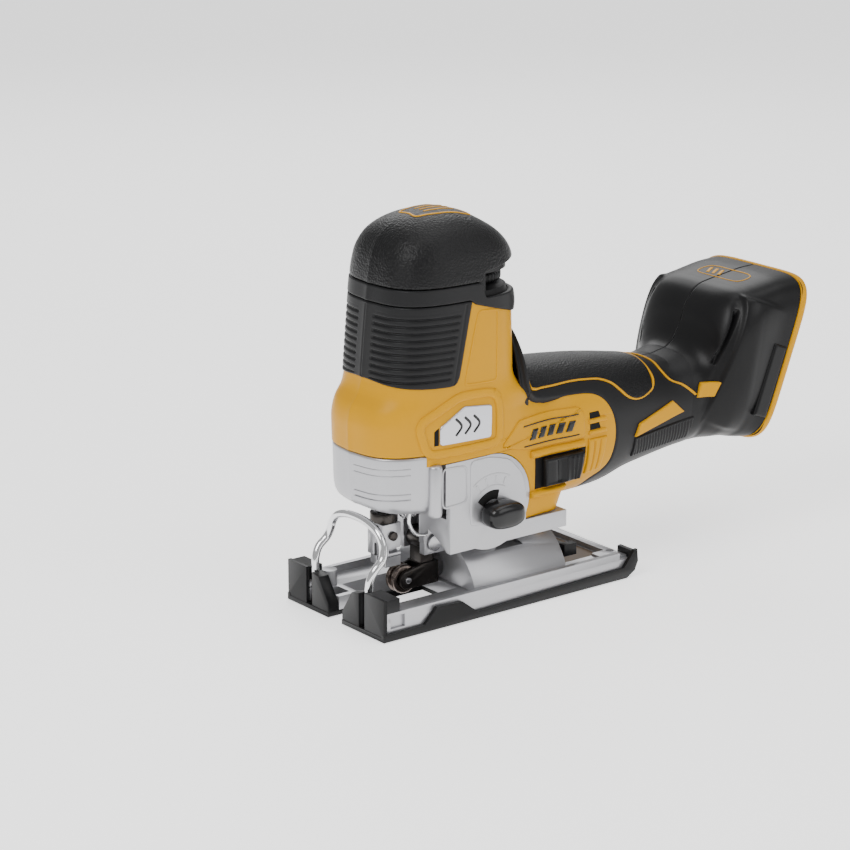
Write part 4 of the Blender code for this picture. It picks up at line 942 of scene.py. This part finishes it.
def dock_rings(rows, corner_power):
    """Squared rings round the dock's axis from rows of (n, half width, lowest u, highest u)."""
    angle = np.linspace(0, 2 * np.pi, 160, endpoint=False)
    a, b = squared(angle, corner_power)
    rows = np.asarray(rows, float)
    u = (rows[:, 2:3] + rows[:, 3:4]) / 2 + b * (rows[:, 3:4] - rows[:, 2:3]) / 2
    x, z = foot_to_world(rows[:, :1] + 0 * u, u)
    return np.stack([x, rows[:, 1:2] * a, z], -1)


RIM = (
    (131.0, 38.0, 107.4, 190.6), (131.2, 38.7, 106.8, 191.4), (131.8, 39.1, 106.4, 192.2), (133.8, 39.1, 106.4, 192.4),
    (134.6, 38.7, 106.8, 192.0), (134.8, 37.8, 107.8, 191.0), (134.8, 33.4, 112.0, 186.8), (134.3, 32.8, 112.6, 186.2),
    (131.4, 32.6, 112.8, 186.0))
ring = dock_rings(RIM, 6.0)
piece("dock_rim", ring.reshape(-1, 3), grid_faces(*ring.shape[:2], True, True), yellow_plastic, "tool",
      ("foot_rim",))
DOCK = (
    (131.2, 38.0, 107.6, 190.4), (131.2, 32.7, 112.9, 185.9), (129.0, 32.5, 113.0, 185.6), (128.8, 32.2, 113.2, 185.2),
    (128.8, 26.6, 114.4, 183.0), (128.6, 26.3, 114.5, 182.8), (123.8, 26.3, 114.5, 171.4), (123.6, 30.8, 113.8, 171.6),
    (113.2, 30.8, 113.8, 171.6))
ring = dock_rings(DOCK, 8.0)
dock_cap = np.concatenate([ring, np.repeat(ring[-1].mean(0)[None, None], ring.shape[1], 1)])
dock_cap = np.concatenate([dock_cap, dock_cap[:, :1]], 1)
# The dock's floor is real geometry, coloured darker and duller than the foot's black plastic: painted shade inside the
# recess
skin("dock_floor", dock_cap[:, ::-1], (400, 0, -20), painted_shade_black, "tool", (), 0.6)

LATCH_N, LATCH_U, LATCH_SIZE = 121.6, 119.0, (8.6, 37.0)


def latch_patch(sign):
    """A flat patch on the foot's side in its own rearward and upward distances."""
    def place(s, t, lift):
        x, z = foot_to_world(LATCH_N + LATCH_SIZE[0] * s, LATCH_U + LATCH_SIZE[1] * t)
        return np.stack([x, sign * (37.3 + lift), z], -1)

    return place


for side, sign in BOTH:
    pad(f"latch_{side}", latch_patch(sign), LATCH_SIZE, 1.5, black_plastic, "tool", 1.3, 2.0, (16, 30))


def plate_place(a, b, lift):
    """Places on the foot's sloping top: a is rearward from its front edge and b across."""
    key = 8.0 + 4.0 * np.clip((3.0 + np.asarray(a, float)) / 30.0, 0, 1)
    tx, tz, bx, bz, half, above, _ = np.moveaxis(along(FOOT_ROWS, key), -1, 0)
    across = np.clip(np.abs(b) / half, 0, 0.98)
    v = (1 - across**above) ** (1 / above)
    x, z = (tx + bx) / 2 + v * (tx - bx) / 2, (tz + bz) / 2 + v * (tz - bz) / 2
    return np.stack([x, b + 0 * x, z + lift + 0.3], -1)


PLATE_FRAME = (
    (3.4, -11), (4.6, -14.4), (9, -15.8), (13.6, -14.6), (15.2, -11), (15.4, 0), (15.2, 11), (13.6, 14.6), (9, 15.8),
    (4.6, 14.4), (3.4, 11), (3.2, 0))
line_on("dock_plate_frame", plate_place, PLATE_FRAME, 0.6, 0.15, yellow_gloss, "tool", 200, True)
for k in range(3):
    y = 0.8 + 4.0 * k
    line_on(f"dock_plate_bar_{k + 1}", plate_place, [(6.2, y), (9.2, y + 1.5), (12.4, y + 3)], 1.7, 0.15,
            yellow_gloss, "tool", 30)

# ---------------------------------------------------------------- panels on the housing's sides
def rounded_outline(corners, radius, steps):
    """A closed outline, each corner a quadratic curve between points a radius away along its two sides."""
    corners = np.asarray(corners, float)
    before, after = np.roll(corners, 1, 0) - corners, np.roll(corners, -1, 0) - corners
    before /= np.linalg.norm(before, axis=1, keepdims=True)
    after /= np.linalg.norm(after, axis=1, keepdims=True)
    t = np.linspace(0, 1, steps)[None, :, None]
    start, end = corners + before * radius, corners + after * radius
    arcs = (1 - t) ** 2 * start[:, None] + 2 * t * (1 - t) * corners[:, None] + t**2 * end[:, None]
    return arcs.reshape(-1, 2)


def outline_on(name, place, corners, radius, width, height, material, body="tool"):
    """A bead round a polygon with rounded corners."""
    path = rounded_outline(corners, radius, 5)
    return line_on(name, place, path, width, height, material, body, 200, True)


def polygon_pad(name, place, corners, radius, height, material, body, edge, sink, replaced=(), rows=10):
    """A raised plate: rounded-corner outlines nest towards the middle while the lift rises over the edge."""
    line = rounded_outline(corners, radius, 7)
    line = np.concatenate([line, line[:1]])
    run = np.concatenate([[0], np.cumsum(np.linalg.norm(np.diff(line, axis=0), axis=1))])
    at = np.linspace(0, run[-1], 161)[:-1]
    line = np.stack([np.interp(at, run, line[:, k]) for k in (0, 1)], -1)
    middle = line.mean(0)
    reach = np.linalg.norm(line - middle, axis=1).mean()
    lip = edge * (1 - np.cos(np.linspace(0, np.pi / 2, 6)))
    d = np.concatenate([[0.0], lip, np.linspace(edge, reach, rows)[1:]])
    lift = height * np.sqrt(np.clip(1 - (1 - np.clip(d / edge, 0, 1)) ** 2, 0, 1))
    lift[0] = -sink
    share = 1 - d / reach
    at = middle + (line - middle)[None] * share[:, None, None]
    points = place(at[..., 0], at[..., 1], lift[:, None] + 0 * at[..., 0])
    points = np.concatenate([points, points[:, :1]], 1)
    inner = points[0].mean(0) * np.array([1.0, 0.0, 1.0])
    return skin(name, points, inner, material, body, replaced, wall=0.5)


def side_places(sign):
    """Places on one side of the housing given by x and height."""
    def place(a, b, lift):
        return side_point(a, b, sign, lift)

    return place


def palm_relief(s, t):
    """Three narrow grooves up the patch that fade out at its top and bottom."""
    return -0.8 * (0.5 + 0.5 * np.cos(2 * np.pi * s * 3.0)) ** 6 * ease((0.5 - np.abs(t - 0.5)) * 10)


def button_relief(s, t):
    """The slide button's face: a thumb hollow, ribs behind it and a lower front end, fading at top and bottom."""
    hollow = -1.5 * np.exp(-((s - 0.42) / 0.10) ** 2)
    ribs = 0.9 * (0.5 + 0.5 * np.cos(2 * np.pi * (s - 0.53) * 8.2)) ** 2 * ease((s - 0.52) / 0.03)
    front = 0.35 * ease((0.40 - s) / 0.05)
    return (hollow + ribs - front) * ease((0.5 - np.abs(t - 0.5)) * 14)


BADGE = ((-33.6, 84.7), (-4.0, 83.9), (-3.6, 99.4), (-19.6, 101.2), (-33.6, 93.4))
BADGE_RIDGE = ((-44.5, 96.0), (-22.0, 106.0), (-2.4, 105.2), (1.0, 101.5), (1.2, 80.6), (-40.0, 80.8))
TRAPEZOID = ((-18.6, 110.8), (0.5, 110.0), (1.2, 143.2), (-10.4, 144.2))
SIDE_PANEL = ((2.4, 77.6), (13.4, 88.2), (50.6, 88.2), (54.0, 85.0), (54.0, 73.0), (20.6, 73.0), (6.0, 76.0))
BADGE_SLOT = ((-36.4, 84.8), (-33.9, 84.8), (-33.9, 93.2), (-36.4, 91.6))
PALM_RIBS = ((56.4, 53.6), (66.0, 54.6), (68.4, 71.0), (56.4, 71.2))
SWITCH_WELL = ((23.4, 52.8), (55.2, 52.8), (55.2, 68.0), (23.4, 68.0))
SWITCH_BUTTON = ((27.6, 53.4), (52.4, 53.4), (52.4, 67.3), (27.6, 67.3))
SWITCH_RAILS = (
    ((20.5, 68.6), (53.6, 68.6), (53.6, 72.0), (20.5, 72.0)),
    ((20.5, 49.0), (43.0, 49.0), (43.0, 52.2), (20.5, 52.2)))
for side, sign in BOTH:
    side_place = side_places(sign)
    polygon_pad(f"badge_plate_{side}", side_place, BADGE, 1.6, 0.9, badge_silver, "tool", 0.5, 0.8,
                (f"badge_{side}",), 24)
    # The badge slot is a thin near-black patch, not an opening: painted shade
    place, size = quad_side(BADGE_SLOT, sign)
    pad(f"badge_slot_{side}", place, size, 0.12, painted_shade_black, "tool", 0.3, 0.4, (8, 12))
    outline_on(f"badge_ridge_{side}", side_place, BADGE_RIDGE, 5.0, 4.2, 0.9, yellow_plastic)
    for k in range(3):
        x = -25.0 + 5.2 * k
        line_on(f"badge_mark_{side}_{k + 1}", side_place, [(x, 88.2), (x + 3.2, 92.2), (x, 96.2)], 1.5, 1.2,
                gloss_black, "tool", 40)
    outline_on(f"tower_frame_{side}", side_place, TRAPEZOID, 2.2, 0.8, 0.3, yellow_gloss)
    polygon_pad(f"side_panel_{side}", side_place, SIDE_PANEL, 2.6, 0.75, yellow_plastic, "tool", 0.6, 0.6,
                (), 26)
    for k, z in enumerate((84.6, 75.0)):
        line_on(f"panel_stripe_{side}_{k + 1}", side_place, [(16.0, z), (33, z), (50.0, z)], 0.7, 1.1, gloss_black,
                "tool", 30)
    for k in range(5):
        x = 19.5 + 5.6 * k
        place, size = quad_side(((x, 77.4), (x + 3.6, 77.4), (x + 6.2, 82.2), (x + 2.6, 82.2)), sign)
        pad(f"panel_chevron_{side}_{k + 1}", place, size, 1.3, gloss_black, "tool", 0.25, 0.2, (6, 6))
    for k, z in enumerate((80.9, 75.4)):
        # Each vent is a thin near-black patch, not an opening: painted shade; the sill below it is a real raised ledge
        place, size = quad_side(((57.6, z), (64.6, z), (63.6, z + 3.0), (57.6, z + 3.0)), sign)
        pad(f"vent_{side}_{k + 1}", place, size, 0.15, painted_shade_black, "tool", 0.3, 0.4, (10, 6))
        place, size = quad_side(((56.8, z - 2.3), (68.6, z - 2.3), (67.6, z - 0.2), (56.8, z - 0.2)), sign)
        pad(f"vent_sill_{side}_{k + 1}", place, size, 1.0, yellow_plastic, "tool", 0.8, 0.5, (12, 6))
    for k, rail in enumerate(SWITCH_RAILS):
        place, size = quad_side(rail, sign)
        pad(f"switch_rail_{side}_{k + 1}", place, size, 2.1, yellow_plastic, "tool", 1.3, 0.6, (40, 8))
    place, size = quad_side(PALM_RIBS, sign)
    pad(f"palm_ribs_{side}", place, size, 1.1, yellow_plastic, "tool", 0.8, 0.6, (70, 24), palm_relief)
    # The well round the slide button is a thin near-black patch, not a hollow: painted shade in the gap
    place, size = quad_side(SWITCH_WELL, sign)
    pad(f"switch_well_{side}", place, size, 0.14, painted_shade_black, "tool", 0.4, 0.4, (20, 12))
    place, size = quad_side(SWITCH_BUTTON, sign)
    pad(f"switch_button_{side}", place, size, 3.6, black_plastic, "switch", 1.2, 0.2, (130, 24),
        button_relief, (f"slider_{side}",))

# ---------------------------------------------------------------- gear case, release lever and knob
refined("gear_case", cast_silver, "tool", 1.0, 3)


LEVER_ROWS = np.array((
    # height, how far out from the tower's skin
    (54.0, -9.0), (54.0, -6.0), (54.2, -4.6), (54.9, -3.0), (56.2, -1.7), (58.2, -0.8), (61, -0.35), (65, -0.2),
    (70, -0.2), (75, -0.2), (79.0, -0.2), (79.8, -0.3), (80.3, -0.7), (80.5, -1.2), (80.5, -3.0)))


def lever_sheet():
    """The release lever's shell: the tower's plan carried down round the front, drawn in at its lower edge."""
    z, draw = LEVER_ROWS[:, :1], LEVER_ROWS[:, 1:]
    near = 2 * np.pi - tower_angle(-38.0, 70.0, 1)
    far = tower_angle(-31.0, 70.0, 1)
    angle = np.linspace(far, near, 200)[None]
    slope = 2.2 * ease((angle - np.pi) / 1.2) * (1 - ease((z - 54) / 14))
    return tower_point(angle + 0 * z, z - slope, draw + 0 * angle)


skin("lever_shell", lever_sheet(), (TOWER_CX, 0, 66), cast_silver, "lever", ("release_lever",), 2.2)


HINGE_X, HINGE_Y = -35.5, -29.2


def knuckle_rings():
    """The lever's hinge barrel: a rounded upright column at the near end of the shell."""
    z = np.array([50.6, 50.6, 50.9, 51.6, 52.8, 74.2, 75.2, 75.7, 75.9])[:, None]
    radius = 0.8 * np.array([0.3, 2.6, 3.3, 3.9, 4.2, 4.2, 3.8, 3.0, 1.6])[:, None]
    angle = np.linspace(0, 2 * np.pi, 48, endpoint=False)[None]
    return np.stack([HINGE_X + radius * np.cos(angle), HINGE_Y + radius * np.sin(angle), z + 0 * angle], -1)


rings("lever_knuckle", knuckle_rings(), cast_silver, "lever")


def lever_place(a, b, lift):
    """Places on the lever's outer face: a is the plan angle in degrees past the front, b the height."""
    angle = np.pi + np.radians(a)
    return tower_point(angle, b, lift - 0.2)


for k, (z0, z1) in enumerate(((74.6, 75.3), (71.6, 72.3), (62.6, 63.3), (59.8, 60.5))):
    line_on(f"lever_line_{k + 1}", lever_place, [(6, z0), (30, z0 + 0.2), (52, z1)], 0.6, 0.3, cast_silver, "lever",
            60)


def case_place(a, b, lift):
    """Places on the gear case's flat left face."""
    return np.stack([a + 0 * lift, -(29.8 + lift), b + 0 * lift], -1)


CASE_WINDOW = ((-31.6, 54.0), (-17.4, 55.0), (-17.6, 72.2), (-31.6, 73.0))
CASE_FACE = ((-15.4, 74.0), (-4.0, 74.2), (8.0, 71.0), (16.0, 62.0), (18.4, 52.0), (17.0, 43.0), (-15.4, 42.0))
KNOB_X, KNOB_Z = -2.0, 46.0
outline_on("case_window", case_place, CASE_WINDOW, 3.0, 0.9, 0.35, cast_silver, "tool")
polygon_pad("case_face_raised", case_place, CASE_FACE, 3.0, 0.35, cast_silver, "tool", 0.5, 0.4)


def round_knob(radius, degrees):
    """Places round the knob's shaft at a radius and at angles up from the rearward direction."""
    a = np.radians(degrees)
    return np.stack([KNOB_X + radius * np.cos(a), KNOB_Z + radius * np.sin(a)], -1)


def face_place(a, b, lift):
    """Places on the raised face round the knob."""
    return np.stack([a + 0 * lift, -(30.1 + lift), b + 0 * lift], -1)


# The knob's arc slot is a low near-black bead, not an opening: painted shade
line_on("arc_slot", face_place, round_knob(9.4, np.linspace(72, 142, 12)), 4.6, 0.2, painted_shade_black, "tool",
        40)
for k, radius in enumerate((14.0, 19.5)):
    line_on(f"knob_scale_{k + 1}", face_place, round_knob(radius, np.linspace(60, 128, 12)), 0.5, 0.22, cast_silver,
            "tool", 60)
for k in range(4):
    line_on(f"knob_tick_{k + 1}", face_place, round_knob(np.array([15, 16.5, 18.4]), 66 + 19 * k), 1.1, 0.25,
            cast_silver, "tool", 20)


def knob_rings():
    """The orbital knob: a squared oval, longer behind its shaft than in front, domed over its outer face."""
    depth = np.array([30.4, 30.4, 31.0, 34.0, 37.0, 38.8, 39.9, 40.6, 41.0, 41.2])[:, None]
    draw = np.array([-1.5, -0.6, 0.0, 0.1, 0.0, -0.5, -1.3, -2.6, -4.6, -6.6])[:, None]
    angle = np.linspace(0, 2 * np.pi, 120, endpoint=False)[None]
    rearward = np.cos(angle)
    reach = np.where(rearward > 0, 12.6, 8.0) + draw
    high = 6.2 + draw * 0.8 + 0.5 * rearward
    c, s = squared(angle, 2.7)
    x = KNOB_X + np.maximum(reach, 0.6) * c
    z = KNOB_Z + 0.6 + np.maximum(high, 0.6) * s
    return np.stack([x, -depth + 0 * angle, z], -1)


rings("orbital_knob_bar", knob_rings(), gloss_black, "knob", ("orbital_knob",))

# ---------------------------------------------------------------- shoe, wires and working parts
refined("shoe_cover", black_plastic, "shoe", 0.5, 2)
plate = refined("shoe_plate", cast_silver, "shoe", 0.45, 2)
plate.data.materials.append(deck_silver)
# The deck's level, up-facing faces below its top get a lighter, glossier copy of the silver: painted light on the top
# faces
DECK_TOP = 0.0097
level = np.array([face.normal.z * (face.center.z < DECK_TOP) for face in plate.data.polygons])
plate.data.polygons.foreach_set("material_index", (level > 0.9).astype(np.int32))
refined("bevel_saddle", cast_silver, "shoe", 0.5, 2)
LABEL_SIZE = (24.6, 41.6)


def deck_place(s, t, lift):
    """A flat patch in the sunk field of the shoe's rear deck."""
    return np.stack([48.2 + LABEL_SIZE[0] * s, LABEL_SIZE[1] * (t - 0.5), 7.5 + lift], -1)


pad("deck_label", deck_place, LABEL_SIZE, 0.25, label_brown, "shoe", 0.4, 0.3, (20, 26))

# Half of the wire guard, from its foot up to the middle
GUARD = (
    (-67.6, 20.5, 3.2), (-67.6, 20.7, 12.0), (-67.5, 20.9, 19.0), (-66.9, 21.3, 24.5), (-64.6, 21.9, 29.0),
    (-60.2, 21.6, 33.0), (-58.7, 20.6, 37.0), (-58.4, 19.2, 41.0), (-58.4, 15.6, 44.8), (-58.4, 8.4, 47.3),
    (-58.4, 0.0, 48.0))
guard_path = np.array(GUARD) * np.array([1, -1, 1])
guard_path = np.concatenate([guard_path, (guard_path * np.array([1, -1, 1]))[-2::-1]])
tube("finger_guard_wire", guard_path, 1.9, bright_chrome, "shoe", ("finger_guard",), 220, 24)

SPRING_TURNS, SPRING_R, SPRING_LONG = 4.0, 4.4, 6.7
turns = np.linspace(0, SPRING_TURNS, 97)
coil = 2 * np.pi * turns
spring_path = np.stack([-35.4 + SPRING_LONG * turns / SPRING_TURNS, -3.0 + SPRING_R * np.cos(coil),
                        48.0 + SPRING_R * np.sin(coil)], -1)
tube("release_spring_coil", spring_path, 0.6, bright_chrome, "tool", ("release_spring",), 320, 10)

KEPT = {
    "gear_cover": cast_silver, "clamp_body": deck_silver, "clamp_collar": oiled_steel, "roller_fork": oiled_steel,
    "guide_roller": roller_steel, "bevel_lever": black_plastic, "terminal_block": black_plastic,
    "fork_pin": machined_steel, "roller_pin": machined_steel, "lever_pin": machined_steel,
    "knob_shaft": machined_steel, "bevel_bolt": machined_steel, "clamp_screw_1": oiled_steel,
    "clamp_screw_2": oiled_steel, "plunger": machined_steel, "scotch_yoke": machined_steel,
    "guard_hook": bright_chrome}
bodies_of = {node: body for body, nodes in frame["record"]["behaviour"]["bodies"].items() for node in nodes}
slots_of = {row["node"]: row["material_slot"] for row in frame["record"]["subparts"]}
for node, material in KEPT.items():
    refined(node, material, bodies_of[node], 0.3, 2)
for name, obj in frame["nodes"].items():
    if not obj.hide_render:
        obj.data.materials.clear()
        obj.data.materials.append(COPIED_FINISH[slots_of[name]])

# ---------------------------------------------------------------- floor, size and finish
floor_mesh = bpy.data.meshes.new("floor")
FLOOR_HALF, FLOOR_Z = 20, -0.0004
floor_corners = [(x * FLOOR_HALF, y * FLOOR_HALF, FLOOR_Z) for x, y in ((-1, -1), (1, -1), (1, 1), (-1, 1))]
floor_mesh.from_pydata(floor_corners, [], [(0, 1, 2, 3)])
floor = bpy.data.objects.new("floor", floor_mesh)
bpy.context.scene.collection.objects.link(floor)
pale_floor = finish_of("pale_floor", (0.9, 0.9, 0.9), 0.6, mottle=0.003)
floor_shader = pale_floor.node_tree.nodes["Principled BSDF"]
floor_shader.inputs["Emission Color"].default_value = (1, 1, 1, 1)
floor_shader.inputs["Emission Strength"].default_value = 1.1
floor_mesh.materials.append(pale_floor)
